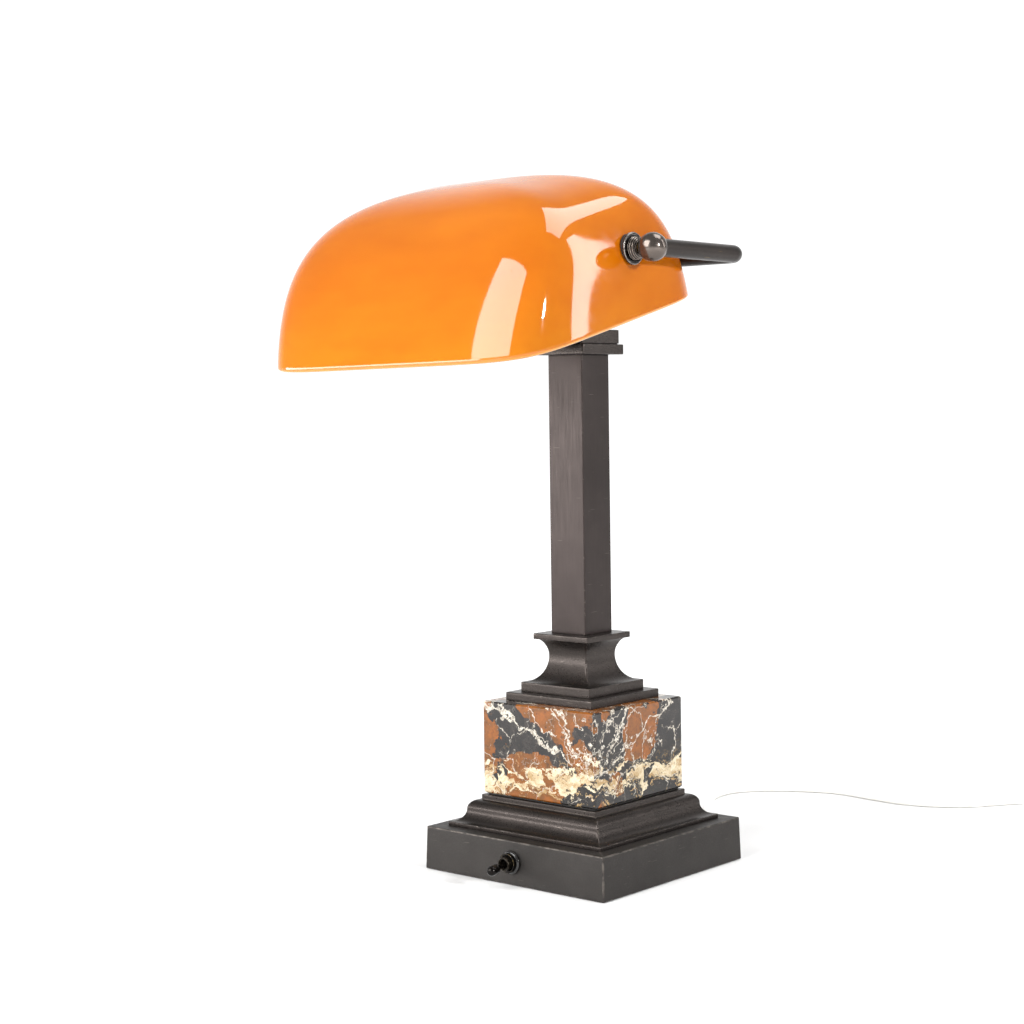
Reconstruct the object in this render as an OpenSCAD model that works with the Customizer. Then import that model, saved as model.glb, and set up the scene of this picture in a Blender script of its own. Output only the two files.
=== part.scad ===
// Banker desk lamp: a stepped metal and marble stand, a horizontal bow and a tilting glass shade.
// Origin: middle of the base on the table. +Z is up, the switch faces -Y, +X is the lamp's right.

/* [Base] */
// Width and depth of the base casting at its lower edge
base_w = 150; // [125:1:180]
// Height of the base casting's top face above the table
base_top = 28.4; // [27:0.2:34]
// Inward slope of each side of the base over its height
base_draft = 0.75; // [0:0.05:1.5]
// Side wall of the hollow base casting
base_wall = 6; // [4:0.5:8]
// Thickness of the base casting's top
base_roof = 6; // [4:0.5:6.5]
// Gap between the casting's lower edge and the table
base_lift = 0.5; // [0.3:0.1:1]
// Thickness of the felt under the base
felt_t = 2; // [1.5:0.1:2.4]
// Thickness of the steel closing plate
plate_t = 1.5; // [1:0.1:2]
// Distance of the base plate screws from the edges of the base
plate_screw_inset = 19; // [17:0.5:26]

/* [Plinth] */
// Half width of the thin plate on the base
plinth_half = 64.2; // [60:0.2:66]
// Thickness of the thin plate on the base
plinth_t = 2.7; // [2:0.1:4]
// Radius of the ogee's lower, hollow curve
ogee_cove_r = 8; // [6:0.5:9]
// Radius of the ogee's upper, round curve
ogee_round_r = 6; // [4:0.5:8]
// Height of the flat band on top of the ogee
ogee_band_h = 3.5; // [2:0.1:6]
// Step from the ogee's round curve in to the flat band
ogee_step = 1.1; // [0.5:0.1:2]

/* [Marble] */
// Width and depth of the marble block
marble_w = 94.4; // [78:0.2:114]
// Height of the marble block
marble_h = 61; // [45:1:80]
// Chamfer on the marble's edges
marble_edge = 0.9; // [0.4:0.1:2]
// Thickness of the rubber pad under the marble
pad_t = 1.1; // [0.6:0.1:2]

/* [Neck] */
// Half width of the plate under the neck
foot_half = 36.4; // [33:0.2:42]
// Thickness of the plate under the neck
foot_t = 5.5; // [4:0.1:8]
// Half width of the neck's lower flange
flange_half = 29.2; // [26:0.2:32]
// Thickness of the neck's lower flange
flange_t = 6.5; // [5:0.1:8]
// Half width at the neck's narrowest place
waist_half = 15.8; // [13:0.1:17]
// Height of the cove below the waist
cove_low_h = 17.2; // [12:0.2:24]
// Height of the cove above the waist
cove_high_h = 11.1; // [8:0.1:14]
// Half width of the neck's top plate
neck_top_half = 23.1; // [21:0.1:26]
// Thickness of the neck's top plate
neck_top_t = 3.9; // [3:0.1:6]

/* [Column] */
// Width and depth of the square column tube
column_w = 28.8; // [25:0.2:34]
// Length of the column tube
column_h = 185.3; // [140:1:230]
// Wall of the column tube
column_wall = 2.4; // [1.5:0.1:3.5]
// Half width of the cap plate on the column
cap_half = 21.6; // [19.5:0.1:23]
// Thickness of the cap plate
cap_t = 6.8; // [5:0.1:9]
// Half width of the block on the cap plate
block_half = 19.5; // [17:0.1:20]
// Height of the block on the cap plate
block_h = 9.7; // [9.5:0.1:14]

/* [Bow] */
// Diameter of the bow's round rod
bow_d = 11; // [9:0.1:13.2]
// Height of the bow's centre line above the block
bow_rise = 43.3; // [40:0.1:55]
// Distance of the hinge line in front of the column's axis
hinge_reach = 89; // [87:0.5:100]
// Bend radius of the bow's corners, on the centre line
bow_bend_r = 7; // [6.5:0.5:14]
// Diameter of the ball on each end of the bow
ball_d = 17.7; // [17:0.1:22]

/* [Shade] */
// Half length of the glass shade at its rim
shade_half = 113.6; // [94:0.2:137]
// Reach of the rim in front of the shade's middle line
shade_front = 100.6; // [85:0.2:110]
// Reach of the rim behind the shade's middle line
shade_back = 81.8; // [74:0.2:82]
// Height of the dome above the plane of its rim
shade_h = 94; // [85:0.5:110]
// Thickness of the glass
glass_t = 3.5; // [3:0.1:4.5]
// Hinge line behind the shade's middle line, along the rim plane
hinge_back = 12.4; // [8:0.2:16]
// Hinge line above the rim plane
hinge_up = 43.4; // [40:0.2:50]
// Forward tilt of the rim plane as the lamp stands
shade_tilt = 14.6; // [5:0.1:20]
// Sideways lean of the glass on its studs
shade_lean = 0.8; // [0:0.1:3]
// Diameter of the hinge studs
stud_d = 6; // [5:0.1:8]
// Diameter of the holes in the glass
glass_hole_d = 10; // [9:0.5:12]
// Diameter of the large washers on the glass
washer_d = 19.7; // [17:0.1:22]
// Thickness of the large washers
washer_t = 1.4; // [1:0.1:2]
// Diameter of the ribbed collars
collar_d = 15; // [12:0.5:16]
// Length of the ribbed collars
collar_len = 4.4; // [3.5:0.1:7]

/* [Lampholder] */
// Upward slope of the lampholder's axis
lamp_rise = 12; // [8:0.5:14]
// Diameter of the arm tube
arm_d = 8; // [6:0.5:8]
// Diameter of the holder's shell
holder_d = 26.4; // [24:0.2:28]
// Diameter of the bulb's glass
bulb_d = 45; // [35:1:46]

/* [Switch] */
// Height of the switch's axis above the table
switch_z = 15; // [14:0.2:16]
// Diameter of the switch's bezel
bezel_d = 15; // [13:0.2:17]
// Diameter of the threaded bush
bush_d = 9.2; // [8:0.1:10]
// Diameter of the lever's ball tip
tip_d = 6.6; // [5:0.1:8]
// Distance of the ball tip in front of the base
tip_reach = 19; // [17:0.5:23]
// Angle of the lever below level in its lower position
lever_drop = 9; // [5:0.5:10]

/* [Cord] */
// Diameter of the cord
cord_d = 5.6; // [5:0.2:6]
// Height of the cord's axis where it leaves the base
gland_z = 12; // [11:0.5:13]
// Length of the tapered sleeve outside the base
gland_len = 28; // [20:1:40]

/* [Fits] */
// Radial running clearance of a turning piece on its stud
run_gap = 0.05; // [0.02:0.01:0.1]
// Radial clearance of fixed pieces and screws in their holes
fit_gap = 0.1; // [0.05:0.05:0.3]
// Clear space between pieces that turn past each other
face_gap = 0.35; // [0.3:0.05:0.5]

/* [Hidden] */
$fn = 48;
eps = 0.01;

// Stack of the stand, from the table up.
plinth_top = base_top + plinth_t;
ogee_top = plinth_top + ogee_cove_r + ogee_round_r + ogee_band_h;
marble_z = ogee_top + pad_t;
marble_top = marble_z + marble_h;
foot_top = marble_top + foot_t;
flange_top = foot_top + flange_t;
waist_z = flange_top + cove_low_h;
neck_top = waist_z + cove_high_h + neck_top_t;
column_top = neck_top + column_h;
cap_top = column_top + cap_t;
block_top = cap_top + block_h;
bow_z = block_top + bow_rise;

// Things that keep their distance from the edges of the base.
plate_screw_x = base_w / 2 - plate_screw_inset;
clamp_y = base_w / 2 - base_wall - 23;

// Central tube that ties the stand together.
tie_r = 5;
tie_bore_r = 3.5;
tie_hole_r = tie_r + fit_gap;
cavity_top = base_top - base_roof;
tie_washer_t = 1.8;
tie_nut_h = 6.5;
tie_low = cavity_top - tie_washer_t - tie_nut_h - 1.5;
tie_top = cap_top + 2.2;
stem_spigot_r = 3.5;

// Column spigots on the neck and the cap plate.
spigot_half = column_w / 2 - column_wall - fit_gap;
spigot_h = 4;

// Dome of the shade: powers that shape how its ends, front and back rise, and its plan corners.
end_rise = 4;
end_round = 3;
front_rise = 1.19;
front_round = 2.14;
back_rise = 1.95;
back_round = 2.3;
corner_power = 6.6;
dome_sides = 44;
dome_rings = 11;

// Stack on each stud, from the glass outwards.
washer_in = max(end_at(hole_h(1) - washer_d / 2), end_at(hole_h(-1) - washer_d / 2)) + 0.8;
washer_out = washer_in + washer_t;
collar_in = washer_out + face_gap;
collar_out = collar_in + collar_len;
ball_gap = 0.58;
ball_bore_r = stud_d / 2 + 0.02;
ball_x = collar_out + ball_gap + sqrt(ball_d * ball_d / 4 - ball_bore_r * ball_bore_r);
seat_d = washer_d - 1.6;
seat_skin = 0.25;
inner_skin = 0.2;
inner_x = min(inside_at(hole_h(1) + seat_d / 2), inside_at(hole_h(-1) + seat_d / 2)) - 1;
inner_washer_t = 1.2;
stud_nut_h = 4;

// Hex nuts and small screws.
screw_r = 2;

// Cord: lead from the sleeve to the coil, the coil, and the short tail to the plug.
cord_r = cord_d / 2;
cord_sides = 10;
run_route = [[0, 103, 12], [0, 111, 12], [-1, 122, 10.4], [-3, 134, 7], [-7, 147, 4],
    [-13, 160, 2.8], [-21, 173, 2.8], [-30, 186, 2.8], [-39, 199, 2.8], [-47, 212, 2.8],
    [-53, 226, 2.8], [-56, 241, 2.8], [-54, 256, 2.8], [-46, 269, 2.8], [-35, 279, 2.8],
    [-22, 288, 2.8], [-8, 295, 2.8], [7, 300, 2.8], [22, 301, 2.8], [37, 299, 2.8],
    [52, 297, 2.8], [67, 296, 2.8], [82, 298, 2.8], [96, 303, 2.8], [109, 311, 2.8],
    [120, 322, 2.8], [129, 335, 2.8], [138, 348, 2.8], [148, 360, 2.8], [160, 372, 2.8],
    [174, 382, 3], [189, 387, 3.3], [201, 388, 3.4]];
tail_route = [[250.4, 330, 9], [250.4, 322, 8.6], [250.5, 314, 7.6], [250.6, 306, 6.7]];
coil_x = 214;
coil_y = 346;
coil_z = 0.6;
coil_mean_r = 33.5;
coil_pitch = 5.7;
coil_columns = 4;
coil_layers = 2;
plug_z = 6.7;

// Height share of the dome to half length, front reach and back reach.
function rise(share, a, b) = pow(1 - pow(share, a), 1 / b);
function end_at(h) = shade_half * rise(h / shade_h, end_rise, end_round);
function inside_at(h) = (shade_half - glass_t) * rise(h / (shade_h - glass_t), end_rise, end_round);

// Mean of the inner end's reach at the upper and the lower edge of a seat.
function inside_mean(h) = (inside_at(h - seat_d / 2) + inside_at(h + seat_d / 2)) / 2;

// Height of each stud above the rim plane, which the lean of the glass changes a little.
function hole_h(side) = hinge_up - side * shade_half * sin(shade_lean);

// One point of the dome: plan angle, height share, and how far the glass is set in.
function dome_point(angle, share, inset) =
    let (c = cos(angle), s = sin(angle))
    let (k = pow(pow(abs(c), corner_power) + pow(abs(s), corner_power), -1 / corner_power))
    let (reach = s < 0 ? (shade_front - inset) * rise(share, front_rise, front_round)
        : (shade_back - inset) * rise(share, back_rise, back_round))
    [(shade_half - inset) * rise(share, end_rise, end_round) * c * k, reach * s * k,
        (shade_h - inset) * share];

// Height shares of the rings, closer together towards the top.
function ring_share(i) = 1 - pow(1 - i / dome_rings, 1.8);

// Closed skin between an outer and an inner set of rings that share their rim.
module glass_shell() {
    outer = [for (i = [0 : dome_rings - 1]) for (j = [0 : dome_sides - 1])
        dome_point(360 * j / dome_sides, ring_share(i), 0)];
    inner = [for (i = [0 : dome_rings - 1]) for (j = [0 : dome_sides - 1])
        dome_point(360 * j / dome_sides, ring_share(i), glass_t)];
    count = len(outer);
    tops = [[0, 0, shade_h], [0, 0, shade_h - glass_t]];
    function at(side, i, j) = side * count + i * dome_sides + j % dome_sides;
    last = dome_rings - 1;
    faces = concat(
        [for (i = [0 : last - 1]) for (j = [0 : dome_sides - 1])
            [at(0, i, j), at(0, i + 1, j), at(0, i, j + 1)]],
        [for (i = [0 : last - 1]) for (j = [0 : dome_sides - 1])
            [at(0, i, j + 1), at(0, i + 1, j), at(0, i + 1, j + 1)]],
        [for (i = [0 : last - 1]) for (j = [0 : dome_sides - 1])
            [at(1, i, j), at(1, i, j + 1), at(1, i + 1, j)]],
        [for (i = [0 : last - 1]) for (j = [0 : dome_sides - 1])
            [at(1, i, j + 1), at(1, i + 1, j + 1), at(1, i + 1, j)]],
        [for (j = [0 : dome_sides - 1]) [at(0, last, j), 2 * count, at(0, last, j + 1)]],
        [for (j = [0 : dome_sides - 1]) [at(1, last, j), at(1, last, j + 1), 2 * count + 1]],
        [for (j = [0 : dome_sides - 1]) [at(0, 0, j), at(0, 0, j + 1), at(1, 0, j)]],
        [for (j = [0 : dome_sides - 1]) [at(0, 0, j + 1), at(1, 0, j + 1), at(1, 0, j)]]);
    polyhedron(concat(outer, inner, tops), faces);
}

// Children drawn in the hinge frame: its origin on the hinge line, X along it.
module on_hinge() {
    translate([0, -hinge_reach, bow_z]) children();
}

// Children drawn pointing outwards (+Z) along the stud of one side, 1 for right and -1 for left.
module on_stud(side) {
    on_hinge() rotate([0, side * 90, 0]) children();
}

// Children drawn along the lampholder's axis, +Z forwards from the block's front face.
module on_lamp_axis() {
    translate([0, -block_half, cap_top + block_h / 2]) rotate([90 - lamp_rise, 0, 0]) children();
}

// Children drawn pointing forwards (+Z) from the base's front face at the switch.
module on_switch() {
    face = base_w / 2 - base_draft * (switch_z - base_lift) / (base_top - base_lift);
    translate([0, -face, switch_z]) rotate([90, 0, 0]) children();
}

// Children drawn pointing backwards (+Z) from the base's rear face at the cord.
module on_gland() {
    translate([0, base_w / 2, gland_z]) rotate([-90, 0, 0]) children();
}

// Square moulding: the outline is a list of [half width, height] from bottom to top.
module square_moulding(outline) {
    reach = 2 * max([for (p = outline) p[0]]) + 2;
    back = [for (i = [len(outline) - 1 : -1 : 0]) [-outline[i][0], outline[i][1]]];
    section = concat(outline, back);
    intersection() {
        rotate([90, 0, 0]) linear_extrude(height = reach, center = true) polygon(section);
        rotate([90, 0, 90]) linear_extrude(height = reach, center = true) polygon(section);
    }
}

// Points of an arc with half axes a (across) and b (up), from one angle to another.
function arc(cx, cz, a, b, from, to, steps = 8) =
    [for (i = [0 : steps]) let (t = from + (to - from) * i / steps) [cx + a * cos(t), cz + b * sin(t)]];

// Square plate with softened upper and lower edges.
module square_plate(half, low, high, edge) {
    square_moulding([[half - edge, low], [half, low + edge], [half, high - edge], [half - edge, high]]);
}

module ring(r_out, r_in, low, high) {
    translate([0, 0, low]) difference() {
        cylinder(r = r_out, h = high - low);
        translate([0, 0, -1]) cylinder(r = r_in, h = high - low + 2);
    }
}

module hex_nut(flats, r_in, low, high) {
    translate([0, 0, low]) difference() {
        cylinder(d = flats / cos(30), h = high - low, $fn = 6);
        translate([0, 0, -1]) cylinder(r = r_in, h = high - low + 2);
    }
}

module at_corners(d) {
    for (x = [-d, d]) for (y = [-d, d]) translate([x, y, 0]) children();
}

module base_block() {
    draft_at_edge = 0.5;
    color("#4a4845") difference() {
        square_moulding([[base_w / 2, base_lift], [base_w / 2 - base_draft, base_top - draft_at_edge],
            [base_w / 2 - base_draft - draft_at_edge, base_top]]);
        difference() {
            translate([0, 0, cavity_top / 2])
                cube([base_w - 2 * base_wall, base_w - 2 * base_wall, cavity_top], center = true);
            at_corners(plate_screw_x) translate([0, 0, felt_t + plate_t])
                cylinder(r = 5, h = cavity_top);
        }
        at_corners(plate_screw_x) cylinder(r = screw_r + fit_gap, h = cavity_top - 2);
        translate([0, 0, cavity_top - 1]) cylinder(r = tie_hole_r, h = base_roof + 2);
        on_switch() translate([0, 0, -base_wall - 3]) cylinder(d = bush_d + 2 * fit_gap, h = base_wall + 6);
        on_gland() translate([0, 0, -base_wall - 1]) cylinder(r = 5.2 + fit_gap, h = base_wall + 2);
    }
}

module base_plate() {
    width = base_w - 2 * base_wall - 4 * fit_gap;
    color("#8d8f92") difference() {
        translate([-width / 2, -width / 2, felt_t]) cube([width, width, plate_t]);
        at_corners(plate_screw_x) cylinder(r = screw_r + fit_gap, h = 10);
        cylinder(r = 4, h = 10);
    }
}

module base_felt() {
    width = base_w - 2 * base_wall - 1;
    color("#20211f") difference() {
        translate([-width / 2, -width / 2, 0]) cube([width, width, felt_t]);
        at_corners(plate_screw_x) translate([0, 0, -1]) cylinder(r = 4.4, h = 5);
    }
}

module plate_screws() {
    head_h = 1.3;
    color("#b9bbbd") at_corners(plate_screw_x) difference() {
        union() {
            translate([0, 0, felt_t - head_h]) cylinder(r = 3.8, h = head_h);
            translate([0, 0, felt_t]) cylinder(r = screw_r, h = plate_t + 8);
        }
        translate([-3, -0.4, felt_t - head_h - 1]) cube([6, 0.8, 1.7]);
    }
}

module plinth_plate() {
    color("#4a4845") difference() {
        square_plate(plinth_half, base_top, plinth_top, 0.4);
        translate([0, 0, base_top - 1]) cylinder(r = tie_hole_r, h = plinth_t + 2);
    }
}

module ogee_moulding() {
    band = plinth_half - 0.7 - ogee_cove_r - ogee_round_r - ogee_step;
    low = plinth_top;
    hollow = band - 8;
    turn_z = low + ogee_cove_r;
    outline = concat(
        arc(band + ogee_step + ogee_round_r + ogee_cove_r, turn_z, ogee_cove_r, ogee_cove_r, 270, 180),
        arc(band + ogee_step, turn_z, ogee_round_r, ogee_round_r, 9, 90),
        [[band, turn_z + ogee_round_r], [band, ogee_top - 0.4], [band - 0.4, ogee_top]]);
    color("#565250") difference() {
        square_moulding(outline);
        translate([-hollow, -hollow, low - 1]) cube([2 * hollow, 2 * hollow, ogee_top - low - 5]);
        translate([0, 0, low - 1]) cylinder(r = tie_hole_r, h = ogee_top - low + 2);
    }
}

module marble_pad() {
    half = marble_w / 2 - 2.2;
    color("#1c1b1a") difference() {
        translate([-half, -half, ogee_top]) cube([2 * half, 2 * half, pad_t]);
        translate([0, 0, ogee_top - 1]) cylinder(r = tie_hole_r + 1, h = pad_t + 2);
    }
}

module marble_block() {
    half = marble_w / 2;
    e = marble_edge;
    color("#a07a58") difference() {
        intersection() {
            square_plate(half, marble_z, marble_top, e);
            translate([0, 0, marble_z - 1]) linear_extrude(height = marble_h + 2)
                polygon([[-half + e, -half], [half - e, -half], [half, -half + e], [half, half - e],
                    [half - e, half], [-half + e, half], [-half, half - e], [-half, -half + e]]);
        }
        translate([0, 0, marble_z - 1]) cylinder(r = tie_hole_r + 1.5, h = marble_h + 2);
    }
}

module neck_foot() {
    color("#4a4845") difference() {
        square_plate(foot_half, marble_top, foot_top, 0.6);
        translate([0, 0, marble_top - 1]) cylinder(r = tie_hole_r, h = foot_t + 2);
    }
}

module neck_casting() {
    cove_out = flange_half - 1.2;
    top_low = waist_z + cove_high_h;
    upper_a = 9.5;
    upper_b = cove_high_h * 1.14;
    outline = concat(
        [[flange_half, foot_top], [flange_half, flange_top - 0.6], [flange_half - 0.6, flange_top]],
        arc(cove_out, waist_z, cove_out - waist_half, cove_low_h, 270, 180, 10),
        [for (i = [1 : 8]) let (t = asin(cove_high_h / upper_b) * i / 8)
            [waist_half + upper_a * (1 - cos(t)), waist_z + upper_b * sin(t)]],
        [[neck_top_half - 0.7, top_low], [neck_top_half, top_low + 0.7],
            [neck_top_half, neck_top - 0.7], [neck_top_half - 0.7, neck_top]]);
    color("#5b5755") difference() {
        union() {
            square_moulding(outline);
            translate([-spigot_half, -spigot_half, neck_top - eps])
                cube([2 * spigot_half, 2 * spigot_half, spigot_h + eps]);
        }
        translate([0, 0, foot_top - 1]) cylinder(r = tie_hole_r, h = neck_top - foot_top + spigot_h + 2);
    }
}

module column_tube() {
    inner = column_w - 2 * column_wall;
    color("#5a5552") difference() {
        translate([-column_w / 2, -column_w / 2, neck_top]) cube([column_w, column_w, column_h]);
        translate([-inner / 2, -inner / 2, neck_top - 1]) cube([inner, inner, column_h + 2]);
    }
}

module cap_plate() {
    color("#4a4845") difference() {
        union() {
            square_plate(cap_half, column_top, cap_top, 0.7);
            translate([-spigot_half, -spigot_half, column_top - spigot_h])
                cube([2 * spigot_half, 2 * spigot_half, spigot_h + eps]);
        }
        translate([0, 0, column_top - spigot_h - 1]) cylinder(r = tie_hole_r, h = cap_t + spigot_h + 2);
    }
}

module upper_block() {
    groove = 0.7;
    color("#4a4845") difference() {
        square_moulding([[block_half - groove, cap_top], [block_half - groove, cap_top + 0.5],
            [block_half, cap_top + 0.5], [block_half, block_top - 0.5], [block_half - 0.5, block_top]]);
        translate([0, 0, cap_top - 1]) cylinder(r = tie_hole_r, h = 1 + block_h / 2);
        translate([0, 0, cap_top]) cylinder(r = stem_spigot_r + fit_gap, h = block_h + 2);
        on_lamp_axis() translate([0, 0, arm_from - 0.5]) cylinder(d = arm_d + 2 * fit_gap, h = 6);
    }
}

module tie_tube() {
    color("#c9b27a") ring(tie_r, tie_bore_r, tie_low, tie_top);
}

module tie_nut() {
    color("#b9bbbd") hex_nut(17, tie_r + run_gap, cavity_top - tie_washer_t - tie_nut_h,
        cavity_top - tie_washer_t);
}

module tie_washer() {
    color("#b9bbbd") ring(13, tie_r + run_gap, cavity_top - tie_washer_t, cavity_top);
}

module stem() {
    color("#4a4845") difference() {
        union() {
            translate([0, 0, block_top]) cylinder(d = bow_d, h = bow_rise);
            translate([0, 0, block_top - 2.4]) cylinder(r = stem_spigot_r, h = 3);
        }
        translate([0, 0, bow_z]) rotate([0, 90, 0]) cylinder(d = bow_d, h = 40, center = true);
    }
}

module bow() {
    arm_end = -hinge_reach + 4.5;
    straight = 2 * (ball_x - bow_bend_r);
    color("#494542") translate([0, 0, bow_z]) {
        rotate([0, 90, 0]) cylinder(d = bow_d, h = straight, center = true);
        for (side = [-1, 1]) {
            translate([side * ball_x, arm_end, 0]) rotate([-90, 0, 0])
                cylinder(d = bow_d, h = -arm_end - bow_bend_r);
            translate([side * (ball_x - bow_bend_r), -bow_bend_r, 0]) rotate([0, 0, side > 0 ? 0 : 90])
                rotate_extrude(angle = 90) translate([bow_bend_r, 0]) circle(d = bow_d);
        }
    }
}

// Ball on the end of the bow, drilled for the arm from behind and for the stud across.
module ball(side) {
    color("#57504c") on_stud(side) difference() {
        translate([0, 0, ball_x]) sphere(d = ball_d);
        translate([0, 0, ball_x - ball_d]) cylinder(r = ball_bore_r, h = ball_d + 2.2);
        translate([0, 4.5, ball_x]) rotate([-90, 0, 0]) cylinder(d = bow_d + 0.04, h = ball_d);
    }
}

module stud(side) {
    color("#b08d57") on_stud(side) translate([0, 0, inner_x - inner_washer_t - face_gap - stud_nut_h - 2])
        cylinder(d = stud_d, h = ball_x + 2 - inner_x + inner_washer_t + face_gap + stud_nut_h + 2);
}

module stud_nuts() {
    high = inner_x - inner_washer_t - face_gap;
    color("#b9bbbd") for (side = [-1, 1]) on_stud(side)
        hex_nut(10, stud_d / 2 + 0.02, high - stud_nut_h, high);
}

// Collar with three ribs; it turns on the stud between the washer and the ball.
module collar(side) {
    r = collar_d / 2;
    step = collar_len / 6;
    outline = concat([[stud_d / 2 + run_gap, collar_in], [r, collar_in]],
        [for (i = [1 : 5]) [i % 2 == 0 ? r - 0.5 * i * 0.4 : r - 0.9 - 0.2 * i, collar_in + i * step]],
        [[r - 3, collar_out], [stud_d / 2 + run_gap, collar_out]]);
    color("#3f3b39") on_stud(side) rotate_extrude() polygon(outline);
}

module shade_glass() {
    color("#fa8c14") difference() {
        on_hinge() rotate([0, -shade_lean, 0]) rotate([shade_tilt, 0, 0])
            translate([0, -hinge_back, -hinge_up]) glass_shell();
        for (side = [-1, 1]) on_stud(side) translate([0, 0, shade_half / 2])
            cylinder(d = glass_hole_d, h = shade_half);
    }
}

module outer_washers() {
    color("#3a3836") for (side = [-1, 1]) on_stud(side)
        ring(washer_d / 2, stud_d / 2 + run_gap, washer_in, washer_out);
}

// Rubber seats, cut on the slope of the glass end so that they are wedges.
module outer_seats() {
    color("#262422") for (side = [-1, 1]) on_hinge() difference() {
        rotate([0, side * 90, 0]) ring(seat_d / 2, stud_d / 2 + 1, inner_x + eps, washer_in - eps);
        end_block(side, end_at(hole_h(side)) + seat_skin, end_at(hole_h(side) + 5),
            end_at(hole_h(side) - 5), -1);
    }
}

module inner_seats() {
    color("#262422") for (side = [-1, 1]) on_hinge() difference() {
        rotate([0, side * 90, 0]) ring(seat_d / 2, stud_d / 2 + 1, inner_x + eps, washer_in - eps);
        end_block(side, inside_mean(hole_h(side)) - inner_skin, inside_at(hole_h(side) + 5),
            inside_at(hole_h(side) - 5), 1);
    }
}

// Big block whose face lies on the sloping glass end; it fills the inner (-1) or outer (1) side.
module end_block(side, x, x_above, x_below, way) {
    size = 40;
    slope = atan((x_below - x_above) / 10);
    translate([side * x, 0, 0]) rotate([0, -shade_lean, 0]) rotate([shade_tilt, 0, 0])
        rotate([0, -side * slope, 0])
        translate([side * way * size / 2, 0, 0]) cube([size, size, size], center = true);
}

module inner_washers() {
    color("#b9bbbd") for (side = [-1, 1]) on_stud(side)
        ring(seat_d / 2, stud_d / 2 + run_gap, inner_x - inner_washer_t, inner_x);
}

// Lampholder pieces along its axis.
arm_from = -3.6;
cap_from = 8;
shell_from = 22;
shell_to = 46;
holder_wall = 1.5;

module lamp_arm() {
    color("#4a4845") on_lamp_axis() ring(arm_d / 2, arm_d / 2 - 1.4, arm_from, cap_from + 4);
}

module holder_cap() {
    r = holder_d / 2;
    hole = arm_d / 2 + fit_gap;
    color("#2b2a29") on_lamp_axis() rotate_extrude() polygon(concat(
        [[hole, cap_from], [6, cap_from]],
        arc(6, shell_from - 5, r - 6, shell_from - 5 - cap_from - 2, -90, 0),
        [[r, shell_from], [r - holder_wall, shell_from], [r - holder_wall, shell_from - 4.5],
            [6, cap_from + 4], [hole, cap_from + 4]]));
}

module holder_shell() {
    r = holder_d / 2;
    color("#2b2a29") on_lamp_axis() rotate_extrude() polygon([[r - holder_wall, shell_from],
        [r + 0.6, shell_from], [r + 0.6, shell_from + 3], [r - 0.2, shell_from + 4], [r - 0.2, shell_to - 1],
        [r - 1, shell_to], [8.2, shell_to], [8.2, shell_to - 2], [r - holder_wall, shell_to - 2]]);
}

module holder_ring() {
    color("#201f1e") on_lamp_axis()
        ring(holder_d / 2 + 2.2, holder_d / 2 - 0.1, shell_to - 9, shell_to - 5);
}

module holder_insert() {
    color("#e6e1d6") on_lamp_axis() difference() {
        translate([0, 0, shell_from - 2]) cylinder(r = holder_d / 2 - holder_wall - fit_gap, h = 6);
        for (x = [-5, 5]) translate([x, 0, shell_from - 3]) cylinder(r = 1.2, h = 8);
    }
}

module holder_liner() {
    color("#c9a45a") on_lamp_axis() ring(8, 7.1, shell_from + 4, shell_to - 0.5);
}

module holder_contact() {
    color("#c9a45a") on_lamp_axis() translate([0, 0, shell_from + 4]) cylinder(r = 3, h = 1.2);
}

bulb_from = shell_from + 6;
bulb_cap_len = 18;
bulb_mid = bulb_from + bulb_cap_len + 5 + bulb_d / 2;

module bulb_cap() {
    color("#c8c8c6") on_lamp_axis() rotate_extrude() polygon([
        [0, bulb_from - 0.8 + eps], [2.8, bulb_from - 0.8 + eps],
        [6.4, bulb_from + 2], [6.9, bulb_from + 3], [6.9, bulb_from + bulb_cap_len],
        [6.1, bulb_from + bulb_cap_len], [6.1, bulb_from + 4], [0, bulb_from + 4]]);
}

module bulb_glass() {
    r = bulb_d / 2;
    t = 0.8;
    low = bulb_from + bulb_cap_len;
    start = asin(8.5 / r) - 90;
    color("#f4f1ea") on_lamp_axis() rotate_extrude() polygon(concat(
        [[5, low - 6], [6, low - 6], [6, low], [7, low + eps]],
        arc(0, bulb_mid, r, r, start, 90, 20),
        arc(0, bulb_mid, r - t, r - t, 90, start, 20), [[5, low]]));
}

// Toggle switch, pointing forwards from the front of the base.
nut_from = 2.4;
nut_to = 5;
bush_to = 8.4;
pivot_out = 5.6;
pivot_r = 2.4;
body_back = -base_wall - 16;

module switch_bezel() {
    r = bezel_d / 2;
    color("#22201f") on_switch() rotate_extrude() polygon(concat(
        [[bush_d / 2 + fit_gap, 0.25], [r, 0.25]], arc(r - 1.3, nut_from - 1.3, 1.3, 1.3, 0, 90, 5),
        [[bush_d / 2 + fit_gap, nut_from]]));
}

module switch_nut() {
    color("#2b2827") on_switch() difference() {
        ring(bush_d / 2 + 1.7, bush_d / 2 + 0.02, nut_from, nut_to);
        for (a = [0 : 30 : 330]) rotate([0, 0, a]) translate([bush_d / 2 + 2, 0, nut_from + 0.6])
            cylinder(r = 0.6, h = nut_to, $fn = 16);
    }
}

module switch_bush() {
    color("#8f7a4c") on_switch() difference() {
        translate([0, 0, -base_wall - 1.5]) cylinder(d = bush_d, h = bush_to + base_wall + 1.5);
        translate([0, 0, -base_wall - 2]) cylinder(r = 3.4, h = bush_to + base_wall + 4);
    }
}

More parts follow.
